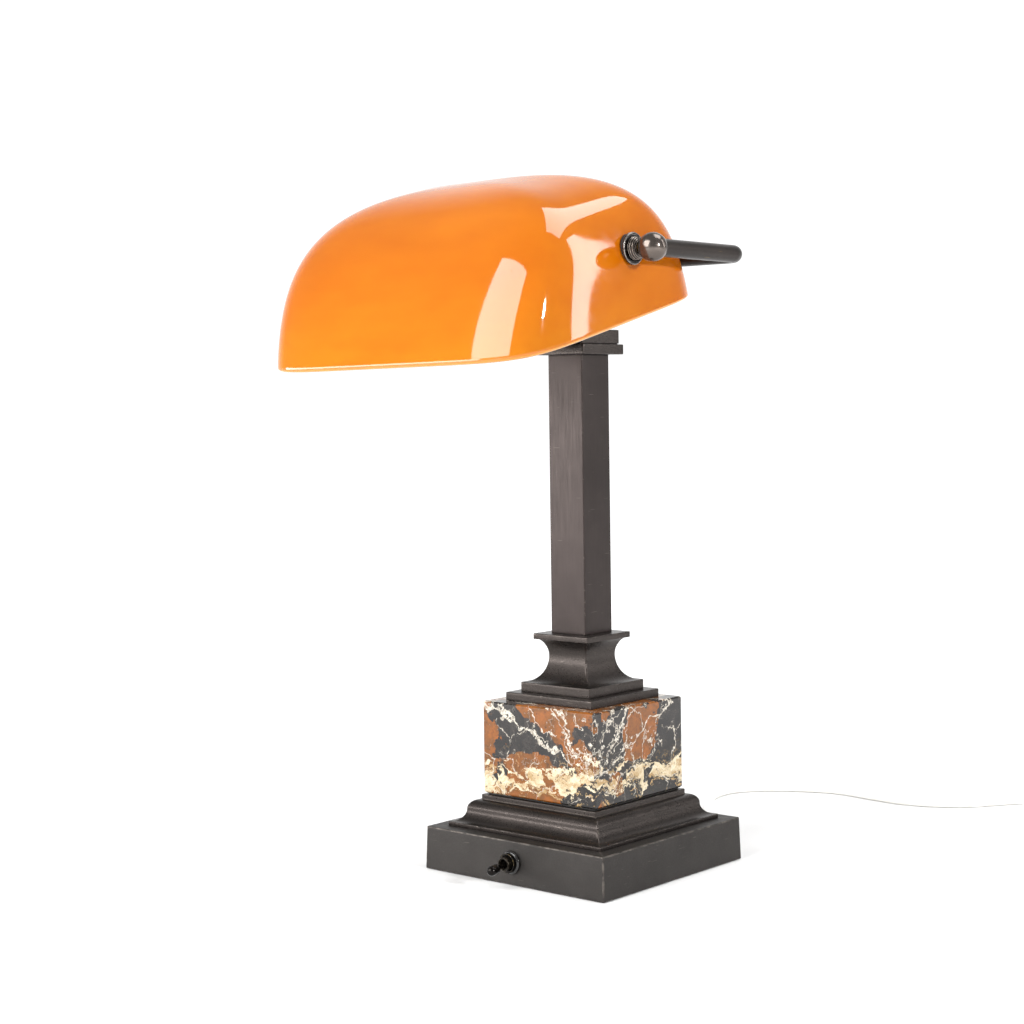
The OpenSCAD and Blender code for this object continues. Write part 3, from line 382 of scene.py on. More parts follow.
def breccia(name):
    """Polished breccia: large rust and near-black fragments with ragged borders, a ragged cream band low on
    the block, thin branching veins, and streaks that fan out from one point on the front corner."""
    material, tree = new_material(name)
    place = object_place(tree)

    def bent_by(vector, size, reach):
        """The vector moved about by up to half the reach, in lumps of that size."""
        warp = add_node(tree, "ShaderNodeTexNoise", {"Vector": place, "Scale": 1 / (size * MM),
                                                     "Detail": 4.0})
        centred = vectors(tree, "SUBTRACT", warp.outputs["Color"], (0.5, 0.5, 0.5))
        return vectors(tree, "MULTIPLY_ADD", centred, (reach * MM,) * 3, vector)

    def level(vector, axis):
        """One coordinate of the vector."""
        return add_node(tree, "ShaderNodeSeparateXYZ", {"Vector": vector}).outputs[axis]

    def cracks(size, narrow, wide):
        """1 along the borders of cells of that size, fading to 0 from narrow to wide."""
        gap = add_node(tree, "ShaderNodeTexVoronoi", {"Vector": bent, "Scale": 1 / (size * MM)},
                       feature="DISTANCE_TO_EDGE").outputs["Distance"]
        return ranged(tree, gap, narrow, wide, 1.0, 0.0)

    bent = bent_by(bent_by(place, 17, 22), 3.2, 5)
    regions = noise(tree, bent, 34, 1.2, 0.45)
    clouds = noise(tree, bent, 8, 6, 0.65)
    mottle = noise(tree, place, 2.4, 6, 0.72)
    flecks = noise(tree, bent, 1.7, 3, 0.6)
    rust = mixed(tree, ranged(tree, clouds, 0.36, 0.62), "#874b12", "#603a11")
    rust = mixed(tree, ranged(tree, mottle, 0.56, 0.68, 0.0, 0.85), rust, "#2d1c10")
    black = mixed(tree, ranged(tree, clouds, 0.45, 0.68), "#1a1716", "#332e2b")
    black = mixed(tree, ranged(tree, mottle, 0.62, 0.70, 0.0, 0.5), black, "#6a625a")
    stone = mixed(tree, ranged(tree, regions, 0.462, 0.472), black, rust)
    smears = noise(tree, bent, 4, 5, 0.68, stretch=(3, 3, 1))
    lumps = noise(tree, bent, 13, 2, 0.5)
    cream = mixed(tree, ranged(tree, smears, 0.38, 0.62), "#d2c6aa", "#a08357")
    cream = mixed(tree, ranged(tree, flecks, 0.60, 0.66), cream, "#4a3726")
    white = mixed(tree, ranged(tree, flecks, 0.45, 0.6), "#cfc8ba", "#857b6e")

    slope = calculated(tree, "ADD", calculated(tree, "MULTIPLY", level(place, "X"), 0.096),
                       calculated(tree, "MULTIPLY", level(place, "Y"), -0.043))
    height = calculated(tree, "SUBTRACT", calculated(tree, "SUBTRACT", level(bent, "Z"), slope), band_middle)
    ragged = calculated(tree, "ADD", calculated(tree, "ABSOLUTE", height),
                        calculated(tree, "MULTIPLY", ranged(tree, smears, 0.35, 0.65, -1.0, 1.0), 6 * MM))
    islands = ranged(tree, lumps, 0.56, 0.57, 1.0, 0.0)
    band = calculated(tree, "MULTIPLY", ranged(tree, ragged, 6.4 * MM, 7.2 * MM, 1.0, 0.0), islands)
    low = ranged(tree, level(bent, "Z"), band_middle + 22 * MM, band_middle + 8 * MM)
    blotches = calculated(tree, "MULTIPLY", ranged(tree, smears, 0.58, 0.60), low)
    spot = vectors(tree, "SUBTRACT", bent, fan_place)
    aim = vectors(tree, "NORMALIZE", spot)
    reach = vectors(tree, "LENGTH", spot)
    rays = add_node(tree, "ShaderNodeTexNoise", {"Vector": aim, "Scale": 2.6, "Detail": 2.5,
                                                 "Roughness": 0.55}).outputs["Fac"]
    ray_width = ranged(tree, reach, 4 * MM, 60 * MM, 0.014, 0.006)
    ray_gap = calculated(tree, "ABSOLUTE", calculated(tree, "SUBTRACT", rays, 0.5))
    fan = ranged(tree, calculated(tree, "SUBTRACT", ray_gap, ray_width), 0.0, 0.006, 1.0, 0.0)
    upward = ranged(tree, level(aim, "Z"), 0.2, 0.4)
    broken = ranged(tree, mottle, 0.58, 0.64, 1.0, 0.2)
    fan = calculated(tree, "MULTIPLY", calculated(tree, "MULTIPLY", fan, upward), broken)
    veins = calculated(tree, "MULTIPLY", cracks(30, 0.004, 0.016), ranged(tree, clouds, 0.44, 0.5))
    threads = calculated(tree, "MULTIPLY", cracks(11, 0.004, 0.02), ranged(tree, clouds, 0.56, 0.6))
    stone = mixed(tree, calculated(tree, "MULTIPLY", threads, 0.45), stone, white)
    stone = mixed(tree, calculated(tree, "MAXIMUM", band, blotches), stone, cream)
    lines = calculated(tree, "MULTIPLY", calculated(tree, "MAXIMUM", veins, fan), 0.9)
    stone = mixed(tree, lines, stone, white)
    polish = ranged(tree, mottle, 0.3, 0.7, 0.13, 0.24)
    principled(tree, {"Base Color": stone, "Roughness": polish, "Specular IOR Level": 0.5},
               bumped(tree, mottle, 0.01))
    return material


marble_half, marble_low = 47.2, ogee_top + 1.1
marble_top = marble_low + 61
band_middle = 61.5 * MM
fan_place = (47 * MM, -47 * MM, 69 * MM)
marble = square_moulding("marble_cube", [
    (marble_half - 3, marble_low, 0), (marble_half - 0.9, marble_low, 0.15),
    (marble_half, marble_low + 0.9, 0.15), (marble_half, marble_top - 0.9, 0.15),
    (marble_half - 0.9, marble_top, 0.15), (marble_half - 3, marble_top, 0)],
    breccia("polished_brown_breccia"), 1.0)
stands_for(marble, "marble_block", slot="marble")

# ---- Neck: square foot and waisted casting -------------------------------------------------------
# A thin foot plate and a casting that sweeps from a wide flange through a narrow waist to the square
# lip under the column. Both are satin bronze, a little brighter where the light rakes the sweep.

foot_half, foot_top = 36.4, marble_top + 5.5
neck_foot = square_moulding("neck_foot_plate", [
    (foot_half - 2, marble_top, 0), (foot_half, marble_top, 0.3),
    (foot_half, foot_top, 0.6), (foot_half - 5, foot_top, 0)], cast_bronze, 0.6)
stands_for(neck_foot, "neck_foot")

cove_high, lip_out, lip_up = 17.2, 9.5, 12.654
flange_half, flange_top = 29.2, foot_top + 6.5
waist_half, waist_height = 15.8, flange_top + cove_high
lip_half, lip_low = 23.1, waist_height + 11.1
neck_top = lip_low + 3.9
cove_reach = flange_half - 1.2
neck = square_moulding("neck_casting_sweep", [
    (flange_half - 2, foot_top, 0), (flange_half, foot_top, 0.3), (flange_half, flange_top, 0.5),
    *arc_rows(cove_reach, waist_height, cove_reach - waist_half, cove_high, 269, 180, 26),
    *[(waist_half + lip_out * (1 - math.cos(t)), waist_height + lip_up * math.sin(t), 0)
      for t in np.linspace(0.06, 1.07, 16)],
    (lip_half, lip_low, 0.45), (lip_half, neck_top, 0.45), (lip_half - 4, neck_top, 0)],
    cast_bronze, 0.6)
stands_for(neck, "neck_casting")

# ---- Column, cap plate and upper block -----------------------------------------------------------
# A drawn square tube, 29 mm across, brushed along its length before lacquering, with a plate and a
# small block above it that carry the bow and the lampholder.

drawn_bronze = lacquered_bronze("satin_bronze_lacquer_drawn", "#3a3331", "#756d67", 0.34, (1, 1, 30), 0.5)
column_half, column_top = 14.4, neck_top + 185.3
column = square_moulding("square_column", [
    (column_half - 2, neck_top, 0), (column_half, neck_top, 0.2),
    (column_half, column_top, 0.2), (column_half - 2, column_top, 0)], drawn_bronze, 0.55)
stands_for(column, "column_tube")

cap_half, cap_top = 21.6, column_top + 6.8
cap_plate = square_moulding("cap_plate_cast", [
    (cap_half - 3, column_top, 0), (cap_half, column_top, 0.6),
    (cap_half, cap_top, 0.6), (cap_half - 3, cap_top, 0)], cast_bronze, 0.6)
stands_for(cap_plate, "cap_plate")

block_half, block_top = 19.5, cap_top + 9.7
upper_block = square_moulding("upper_block_cast", [
    (block_half - 3, cap_top, 0), (block_half - 0.7, cap_top, 0),
    (block_half - 0.7, cap_top + 0.5, 0), (block_half, cap_top + 0.5, 0.1),
    (block_half, block_top, 0.5), (block_half - 3, block_top, 0)], cast_bronze, 0.6)
stands_for(upper_block, "upper_block")

# ---- Stem, bow and ball ends ---------------------------------------------------------------------
# An 11 mm rod bent into a wide U that holds the shade from behind, on a short stem, with turned balls
# on both ends. The rod is satin, the balls are polished, and both are rubbed to brass in places.

bow_height, hinge_front, bow_r = block_top + 43.3, -89, 5.5
ball_place, ball_r, bend_r, arm_in_ball = 128.94, 8.85, 7, 4.6
both_sides = ((1, "right"), (-1, "left"))
polished_bronze = lacquered_bronze("polished_bronze_lacquer", "#6a615b", "#8f7443", 0.2, wear=0.7)


def turned(name, rows, origin, axis, material, edge=None, columns=72, ring=False, flutes=None):
    """Rows (radius, distance along the axis) turned round an axis through the origin, closed at both ends
    or, as a ring, from the last row back to the first. flutes (count, depth, least radius) waves the rim."""
    rows = np.array(rows, float)
    axis = np.array(axis, float) / np.linalg.norm(axis)
    across = np.cross(axis, (0, 0, 1) if abs(axis[2]) < 0.9 else (1, 0, 0))
    across /= np.linalg.norm(across)
    over = np.cross(axis, across)
    angle = np.linspace(0, 2 * math.pi, columns, endpoint=False)[None, :, None]
    radius = np.broadcast_to(rows[:, None, :1], (len(rows), columns, 1))
    if flutes:
        count, depth, least = flutes
        radius = radius - (radius > least) * depth * (0.5 + 0.5 * np.cos(count * angle)) ** 2
    origin = np.array(origin, float)
    grid = origin + radius * (np.cos(angle) * across + np.sin(angle) * over) + rows[:, None, 1:] * axis
    edge = np.zeros(len(rows)) if edge is None else np.asarray(edge)
    poles = (None, None) if ring else (origin + rows[0, 1] * axis, origin + rows[-1, 1] * axis)
    return surface(name, grid, material, wrap=(ring, True), poles=poles,
                   fields={"edge": np.broadcast_to(edge[:, None], grid.shape[:2])})


def turned_profile(name, corners, origin, axis, material, columns=72, ring=False, flutes=None):
    """The same from corners (radius, distance, rounding), with edge wear on the rounded corners."""
    rows, edge = profile(corners)
    return turned(name, rows, origin, axis, material, edge, columns, ring, flutes)


def rod(name, path, radius, material, columns=28):
    """Round bar along a path that lies in a level plane, closed at both ends."""
    path = np.array(path, float)
    along = np.gradient(path, axis=0)
    along /= np.linalg.norm(along, axis=1, keepdims=True)
    up = np.array([0, 0, 1.0])
    across = np.cross(along, up)
    angle = np.linspace(0, 2 * math.pi, columns, endpoint=False)[None, :, None]
    grid = path[:, None] + radius * (np.cos(angle) * across[:, None] + np.sin(angle) * up)
    grid = grid[:, ::-1]
    return surface(name, grid, material, poles=(path[0], path[-1]), fields={"edge": np.zeros(grid.shape[:2])})


bend = np.linspace(0, math.pi / 2, 15)[:, None]
right_bend = (np.array([ball_place - bend_r, -bend_r, bow_height])
              + bend_r * (np.cos(bend) * np.array([1, 0, 0]) + np.sin(bend) * np.array([0, 1, 0])))
arm_steps, bar_steps = 24, 38
right_arm = np.stack([np.full(arm_steps, ball_place),
                      np.linspace(hinge_front + arm_in_ball, -bend_r - 1, arm_steps),
                      np.full(arm_steps, bow_height)], 1)
half_bow = np.vstack([right_arm, right_bend])
cross_bar = np.stack([np.linspace(1, -1, bar_steps + 2)[1:-1] * (ball_place - bend_r),
                      np.zeros(bar_steps), np.full(bar_steps, bow_height)], 1)
bow_path = np.vstack([half_bow, cross_bar, (half_bow * (-1, 1, 1))[::-1]])
satin_rod = lacquered_bronze("satin_bronze_lacquer_rod", "#36302d", "#7a6540", 0.34, wear=0.5)
bow = rod("bow_rod", bow_path, bow_r, satin_rod)
stands_for(bow, "bow")

stem = turned_profile("stem_post", [
    (3.5, -2.4, 0), (3.5, -0.02, 0), (bow_r, 0, 0.2), (bow_r, 38, 0), (bow_r * 0.9, 40, 0)],
    (0, 0, block_top), (0, 0, 1), satin_rod, 48)
stands_for(stem, "stem")

sphere_angle = np.radians(np.linspace(-88, 88, 48))
ball_rows = np.stack([ball_r * np.cos(sphere_angle), ball_r * np.sin(sphere_angle)], 1)
for side, word in both_sides:
    ball = turned(f"ball_end_{word}", ball_rows, (side * ball_place, hinge_front, bow_height),
                  (side, 0, 0), polished_bronze)
    stands_for(ball, f"ball_{word}", slot="polished_bronze")

# ---- Glass shade ---------------------------------------------------------------------------------
# Blown cased glass, 3.5 mm thick: orange outside over an opal white lining, with a fire-polished rim
# and a drilled hole in each end. Its colour drifts a little with the thickness of the casing, and it is
# painted lighter and yellower towards the lower rim: painted light from below.

shade_half, shade_front, shade_back, shade_height = 113.6, 100.6, 81.8, 94
glass_wall, hinge_back, hinge_up = 3.5, 12.4, 43.4
shade_lean = Matrix.Rotation(math.radians(-0.8), 3, "Y")
shade_tip = Matrix.Rotation(math.radians(14.6), 3, "X")
shade_turn = np.array(shade_lean @ shade_tip)
hinge = np.array([0, hinge_front, bow_height])
rim_r = glass_wall / 2


def dome(plan_angle, share, inset):
    """Points of the dome: a plan that is a superellipse of power 6.6, whose half length, front and back
    shrink with the height share n as (1 - n**a)**(1/b), set in by inset from the outer skin."""
    cosine, sine = np.cos(plan_angle), np.sin(plan_angle)
    spread = (np.abs(cosine) ** 6.6 + np.abs(sine) ** 6.6) ** (-1 / 6.6)
    length = (shade_half - inset) * (1 - share ** 4) ** (1 / 3)
    front = (shade_front - inset) * (1 - share ** 1.19) ** (1 / 2.14)
    back = (shade_back - inset) * (1 - share ** 1.95) ** (1 / 2.3)
    depth = np.where(sine < 0, front, back)
    height = (shade_height - inset) * share
    return np.stack(np.broadcast_arrays(length * cosine * spread, depth * sine * spread, height), -1)


def on_hinge(points):
    """Points given from the rim plane's middle, placed with the tilt and lean of the shade."""
    return hinge + (points - np.array([0, hinge_back, hinge_up])) @ shade_turn.T


def shade_grid(columns=352, rings=120, rim_rows=10):
    """Outer skin from the top down, the rounded rim, and the inner skin up to the top again."""
    angle = np.linspace(0, 2 * math.pi, columns, endpoint=False)
    low = rim_r / shade_height
    share = 1 - (1 - low) * np.linspace(0.02, 1, rings) ** 2.4
    outer = dome(angle[None], share[:, None], 0.0)
    inner = dome(angle[None], share[::-1, None], glass_wall)
    turn = np.linspace(0, math.pi, rim_rows + 2)[1:-1, None]
    inset = rim_r * (1 - np.cos(turn))
    rim = dome(angle[None], np.full_like(turn, low), inset)
    rim[..., 2] = rim_r * (1 - np.sin(turn))
    grid = np.concatenate([outer, rim, inner])
    lining = np.concatenate([np.zeros(rings), np.linspace(0, 1, rim_rows), np.ones(rings)])
    rim_share = np.concatenate([np.zeros(rings), np.ones(rim_rows), np.zeros(rings)])
    return on_hinge(grid)[:, ::-1], lining, rim_share


def cased_glass(name):
    """Glossy orange over opal: the body colour glows a little from inside the glass, drifts in soft bands,
    is painted lighter and yellower towards the lower rim as painted light from below, and has a few seeds
    and one raised blister near the front corner."""
    material, tree = new_material(name)
    place = object_place(tree)
    lining = add_node(tree, "ShaderNodeAttribute", attribute_name="lining").outputs["Fac"]
    rim = add_node(tree, "ShaderNodeAttribute", attribute_name="rim").outputs["Fac"]
    bands = noise(tree, place, 55, 3, 0.5, (2.4, 1, 0.8))
    drift = noise(tree, place, 14, 2, 0.5, (3, 1, 1))
    height = add_node(tree, "ShaderNodeSeparateXYZ", {"Vector": place}).outputs["Z"]
    orange = mixed(tree, ranged(tree, bands, 0.35, 0.66), "#a35404", "#ae5f08")
    # Painted light: the glass is painted lighter and yellower towards the lower rim, as light from below
    # shows it.
    orange = mixed(tree, ranged(tree, height, 372 * MM, 338 * MM, 0.0, 0.5), orange, "#b06e0c")
    orange = mixed(tree, ranged(tree, drift, 0.45, 0.75, 0.0, 0.25), orange, "#9f4d03")
    orange = mixed(tree, calculated(tree, "MULTIPLY", rim, 0.6), orange, "#c88a30")
    colour = mixed(tree, lining, orange, "#cfc4b2")
    seeds = add_node(tree, "ShaderNodeTexVoronoi", {"Vector": place, "Scale": 1 / (17 * MM)})
    seed = ranged(tree, seeds.outputs["Distance"], 0.0, 0.035, 1.0, 0.0)
    narrow = vectors(tree, "MULTIPLY", vectors(tree, "SUBTRACT", place, blister_place), (1, 1, 0.35))
    blister = ranged(tree, vectors(tree, "LENGTH", narrow), 0.0, 1.5 * MM, 1.0, 0.0)
    relief = calculated(tree, "ADD", blister, calculated(tree, "MULTIPLY", seed, 0.3))
    gloss = ranged(tree, noise(tree, place, 6, 4), 0.3, 0.7, 0.03, 0.07)
    principled(tree, {"Base Color": colour, "Roughness": gloss, "IOR": 1.52, "Subsurface Weight": 0.15,
                      "Subsurface Radius": (0.9, 0.5, 0.15), "Subsurface Scale": 3 * MM},
               bumped(tree, relief, 0.35))
    return material


def drilled(piece, origin, start, length, radius):
    """Cuts a bore along X through both ends of the piece, each from start outwards over that length, and
    keeps the result as its mesh."""
    cutters = []
    for side in (-1, 1):
        cutters.append(turned(f"cutter_{side}", [(radius, 0), (radius, length)],
                              origin + np.array((side * start, 0, 0)), (side, 0, 0),
                              piece.data.materials[0], columns=64))
    for cutter in cutters:
        cut = piece.modifiers.new("bore", "BOOLEAN")
        cut.operation, cut.solver, cut.object = "DIFFERENCE", "EXACT", cutter
    graph = bpy.context.evaluated_depsgraph_get()
    result = bpy.data.meshes.new_from_object(piece.evaluated_get(graph))
    piece.modifiers.clear()
    piece.data = result
    for cutter in cutters:
        bpy.data.objects.remove(cutter)


blister_place = (106.2 * MM, -161.0 * MM, 362.0 * MM)
glass_grid, glass_lining, glass_rim = shade_grid()
top_outside = on_hinge(np.array([0, 0, shade_height]))
top_inside = on_hinge(np.array([0, 0, shade_height - glass_wall]))
shade = surface("glass_shade", glass_grid, cased_glass("orange_cased_glass"), poles=(top_outside, top_inside),
                fields={"lining": np.broadcast_to(glass_lining[:, None], glass_grid.shape[:2]),
                        "rim": np.broadcast_to(glass_rim[:, None], glass_grid.shape[:2])})
drilled(shade, hinge, start=60, length=80, radius=5)
stands_for(shade, "shade_glass", slot="orange_glass", body="shade")

# ---- Washers, rubber seats, collars and studs ----------------------------------------------------
# On each end of the shade a brass stud carries, from inside out: nut, steel washer, rubber seat, the
# glass, a rubber seat shaped to it, a black washer, and a ribbed collar that turns beside the ball.

washer_in, washer_out = 113.89, 115.29
collar_in, collar_out = 115.64, 120.04
washer_r, stud_r, collar_r = 9.85, 3, 7.5
black_washer = lacquered_bronze("blackened_washer", "#221f1e", "#8b8682", 0.26)
ribbed_bronze = lacquered_bronze("ribbed_collar_bronze", "#302b29", "#8d837a", 0.22, wear=1.3)
rib = (collar_out - collar_in) / 6
ribs = [(collar_r - 0.2 * i - 0.9 * (i % 2), collar_in + i * rib, 0.25) for i in range(1, 6)]
for side, word in both_sides:
    collar = turned_profile(f"collar_{word}_ribbed", [
        (stud_r + 0.05, collar_in, 0), (collar_r, collar_in, 0.2), *ribs,
        (collar_r - 3, collar_out, 0.2), (stud_r + 0.05, collar_out, 0)],
        hinge, (side, 0, 0), ribbed_bronze, ring=True)
    stands_for(collar, f"collar_{word}", body=f"collar_{word}")

for side, word in both_sides:
    washer = turned_profile(f"outer_washer_{word}", [
        (stud_r + 0.05, washer_in, 0), (washer_r, washer_in, 0.2),
        (washer_r, washer_out, 0.45), (stud_r + 0.05, washer_out, 0)],
        hinge, (side, 0, 0), black_washer, ring=True)
    stands_for(washer, "outer_washers", body="shade")


def plain_finish(name, colour, other, roughness, metallic=0.0, size=2.0, relief=0.0, **more):
    """A finish of two near tones in fine lumps of that size in mm, with its roughness and relief in mm."""
    material, tree = new_material(name)
    place = object_place(tree)
    lumps = noise(tree, place, size, 4)
    tone = mixed(tree, ranged(tree, lumps, 0.35, 0.65), colour, other)
    gloss = ranged(tree, lumps, 0.3, 0.7, roughness * 0.85, roughness * 1.15)
    principled(tree, {"Base Color": tone, "Metallic": metallic, "Roughness": gloss, **more},
               bumped(tree, lumps, max(relief, 0.002)))
    return material


def finish_nodes(material, *nodes):
    """CAD pieces that show as they are take this material in their own slots."""
    for node in nodes:
        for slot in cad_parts[node].material_slots:
            slot.material = material


brass = plain_finish("machined_brass", "#b8934e", "#9c7a3c", 0.3, 1.0, 3.0)
zinc_steel = plain_finish("zinc_plated_steel", "#9fa2a6", "#85888c", 0.35, 1.0, 4.0)
black_rubber = plain_finish("black_rubber", "#1d1b1a", "#262422", 0.75, 0.0, 0.8, 0.02)
finish_nodes(brass, "stud_left", "stud_right")
finish_nodes(zinc_steel, "stud_nuts", "inner_washers")
finish_nodes(black_rubber, "outer_seats", "inner_seats", "marble_pad")

# ---- Lampholder and bulb -------------------------------------------------------------------------
# A short steel tube out of the upper block carries a black phenolic lampholder in two screwed halves,
# with a knurled shade ring, a porcelain insert and an opal globe bulb on a small screw cap.

lamp_lift = math.radians(12)
lamp_axis = (0, -math.cos(lamp_lift), math.sin(lamp_lift))
lamp_origin = (0, -block_half, cap_top + 4.85)
black_phenolic = plain_finish("black_phenolic", "#211f1e", "#2b2826", 0.32, 0.0, 5.0, 0.01)
holder_r = 13.2
arm_tube = turned_profile("lamp_arm_tube", [
    (2.6, -3.6, 0), (4, -3.6, 0.2), (4, 12, 0.2), (2.6, 12, 0)],
    lamp_origin, lamp_axis, satin_rod, 40, ring=True)
stands_for(arm_tube, "lamp_arm")
holder_cap = turned_profile("lampholder_cap", [
    (4.1, 8, 0), (6, 8, 0.4), (9, 9.6, 1.6), (12.3, 12.4, 2.5), (holder_r, 17, 2), (holder_r, 22, 0.3),
    (11.7, 22, 0.2), (11.7, 17.5, 1), (6, 12, 1), (4.1, 12, 0)],
    lamp_origin, lamp_axis, black_phenolic, 72, ring=True)
stands_for(holder_cap, "holder_cap", slot="dark_plastic")
holder_shell = turned_profile("lampholder_shell", [
    (11.7, 22, 0), (holder_r + 0.6, 22, 0.3), (holder_r + 0.6, 25, 0.4), (holder_r - 0.2, 26, 0.3),
    (holder_r - 0.2, 46, 0.8), (8.2, 46, 0.3), (8.2, 44, 0.2), (11.7, 44, 0.4)],
    lamp_origin, lamp_axis, black_phenolic, 96, ring=True, flutes=(24, 0.3, holder_r + 0.3))
stands_for(holder_shell, "holder_shell", slot="dark_plastic")
shade_ring = turned_profile("lampholder_ring", [
    (holder_r - 0.1, 37, 0), (holder_r + 2.2, 37, 0.5), (holder_r + 2.2, 41, 0.5), (holder_r - 0.1, 41, 0)],
    lamp_origin, lamp_axis, black_phenolic, 192, ring=True, flutes=(36, 0.7, holder_r + 1.2))
stands_for(shade_ring, "holder_ring", slot="dark_plastic")
finish_nodes(plain_finish("glazed_porcelain", "#e2ddd0", "#d6d0c2", 0.2, 0.0, 6.0), "holder_insert")
finish_nodes(brass, "holder_liner", "holder_contact")
finish_nodes(plain_finish("bulb_cap_nickel", "#b9b7b2", "#a19f9a", 0.28, 1.0, 2.0), "bulb_cap")

bulb_r, bulb_start, bulb_mid = 22.5, 46, 73.5
globe = np.radians(np.linspace(math.degrees(math.asin(8.5 / bulb_r)) - 90, 88, 56))
bulb_rows = [(6, bulb_start - 6), (6, bulb_start), (7, bulb_start + 1.5),
             *zip(bulb_r * np.cos(globe), bulb_mid + bulb_r * np.sin(globe))]
bulb = turned("bulb_globe", bulb_rows, lamp_origin, lamp_axis,
              plain_finish("opal_bulb_glass", "#f3efe6", "#ece7dc", 0.22, 0.0, 12.0,
                           **{"Subsurface Weight": 0.3, "Subsurface Radius": (2.0, 1.8, 1.5),
                              "Subsurface Scale": 1 * MM}), columns=80)
stands_for(bulb, "bulb_glass", slot="bulb_opal")

# ---- Toggle switch -------------------------------------------------------------------------------
# A panel toggle in the front of the base: a glossy black bezel, a knurled ring nut on a threaded brass
# bush, and an acorn-tipped lever whose lacquer is rubbed down to brass at the tip.

switch_height, switch_face = 15, -74.61
switch_origin, forwards = (0, switch_face, switch_height), (0, -1, 0)
gloss_black = plain_finish("gloss_black_enamel", "#151413", "#1c1a19", 0.12, 0.0, 4.0,
                           **{"Coat Weight": 0.5, "Coat Roughness": 0.06})
rubbed_black = lacquered_bronze("rubbed_black_lacquer", "#1d1a18", "#8a7444", 0.2, wear=0.6)
bush_r = 4.6
bezel = turned_profile("switch_bezel_ring", [
    (bush_r + 0.1, 0.25, 0), (7.5, 0.25, 0.2), (7.5, 1.5, 0.5), (6.5, 2.4, 0.5), (bush_r + 0.1, 2.4, 0)],
    switch_origin, forwards, gloss_black, 72, ring=True)
stands_for(bezel, "switch_bezel")
ring_nut = turned_profile("switch_ring_nut", [
    (bush_r + 0.02, 2.4, 0), (6.3, 2.4, 0.2), (6.3, 5, 0.5), (bush_r + 0.02, 5, 0)],
    switch_origin, forwards, rubbed_black, 216, ring=True, flutes=(36, 0.35, 5.9))
stands_for(ring_nut, "switch_nut")
thread = np.arange(5, 8.0, 0.375)
bush_rows = ([(3.4, -7.5), (bush_r, -7.5)]
             + [(bush_r - (i % 2) * 0.28, z) for i, z in enumerate(thread)]
             + [(bush_r - 0.3, 8.2), (bush_r - 0.6, 8.4), (3.4, 8.4)])
dark_brass = lacquered_bronze("dark_brass_thread", "#2b261f", "#6d5c38", 0.28, wear=0.6)
bush = turned("switch_bush_thread", bush_rows, switch_origin, forwards, dark_brass, columns=64, ring=True)
stands_for(bush, "switch_bush", slot="brass")
lever_drop = math.radians(9)
lever_axis = (0, -math.cos(lever_drop), -math.sin(lever_drop))
knuckle = np.linspace(-1.2, 0.8, 12)
lever_rows = [(1.1, -8), (1.1, -2.3), *zip(2.4 * np.cos(knuckle), 2.4 * np.sin(knuckle)),
              (1.6, 3.2), (1.55, 6.2), (1.9, 7.4), (2.5, 8.2), (2.9, 8.9), (3.0, 9.3), (2.75, 9.7),
              (2.9, 10.3), (3.15, 11.4), (3.3, 12.8), (3.25, 14.0), (2.95, 15.0), (2.4, 15.9),
              (1.6, 16.5), (0.8, 16.7)]
lever = turned("switch_lever_acorn", lever_rows, (0, switch_face - 5.6, switch_height),
               lever_axis, rubbed_black, edge=np.array([z > 8.5 for _, z in lever_rows]) * 0.45, columns=48)
stands_for(lever, "switch_lever", body="lever")

# ---- Parts inside and under the base -------------------------------------------------------------
# The closing plate with its felt and screws, the tie tube's nut and washer, the switch body with its
# tags, the terminal block, the cord clamp, the earth lug and the leads. They keep their CAD shapes.

finish_nodes(plain_finish("black_wool_felt", "#22231f", "#2d2e2a", 0.95, 0.0, 0.7, 0.15), "base_felt")
finish_nodes(zinc_steel, "base_plate", "plate_screws", "tie_nut", "tie_washer", "cord_clamp", "clamp_screws")
finish_nodes(brass, "tie_tube", "switch_tags", "terminal_screws", "earth_lug")
finish_nodes(black_phenolic, "switch_body")
finish_nodes(plain_finish("white_nylon", "#e3e0d8", "#d8d4ca", 0.4, 0.0, 5.0), "terminal_block")
finish_nodes(plain_finish("insulated_leads", "#8a4b2c", "#7c4226", 0.4, 0.0, 3.0), "inner_leads")

# ---- Cord: run along the table, coil and lead to the plug ---------------------------------------
# A round flex with a white PVC sheath, 1.8 m long. It leaves the sleeve at the back of the base, lies
# loosely on the table behind the lamp and is wound into a neat two-layer coil beside its plug.

cord_width = 5.6
cord_diameter = cord_width * MM
run_route = np.array([
    (0, 103, 12), (0, 111, 12), (-1, 122, 10.4), (-3, 134, 7), (-7, 147, 4), (-13, 160, 2.8),
    (-21, 173, 2.8), (-30, 186, 2.8), (-39, 199, 2.8), (-47, 212, 2.8), (-53, 226, 2.8),
    (-56, 241, 2.8), (-54, 256, 2.8), (-46, 269, 2.8), (-35, 279, 2.8), (-22, 288, 2.8),
    (-8, 295, 2.8), (7, 300, 2.8), (22, 301, 2.8), (37, 299, 2.8), (52, 297, 2.8), (67, 296, 2.8),
    (82, 298, 2.8), (96, 303, 2.8), (109, 311, 2.8), (120, 322, 2.8), (129, 335, 2.8), (138, 348, 2.8),
    (148, 360, 2.8), (160, 372, 2.8), (174, 382, 3), (189, 387, 3.3), (201, 388, 3.4)]) / 1000
tail_route = np.array([(250.4, 330, 9), (250.4, 322, 8.6), (250.5, 314, 7.6), (250.6, 306, 6.7)]) / 1000
coil_centre = (214, 346)
coil_low = 0.6 + cord_width / 2
coil_mean_radius = 33.5
coil_pitch = 5.7
coil_turns = 6.25
first_layer_turns = 4


def smooth_step(share):
    """3 s^2 - 2 s^3 of a share held between 0 and 1."""
    held = np.clip(share, 0, 1)
    return held * held * (3 - 2 * held)


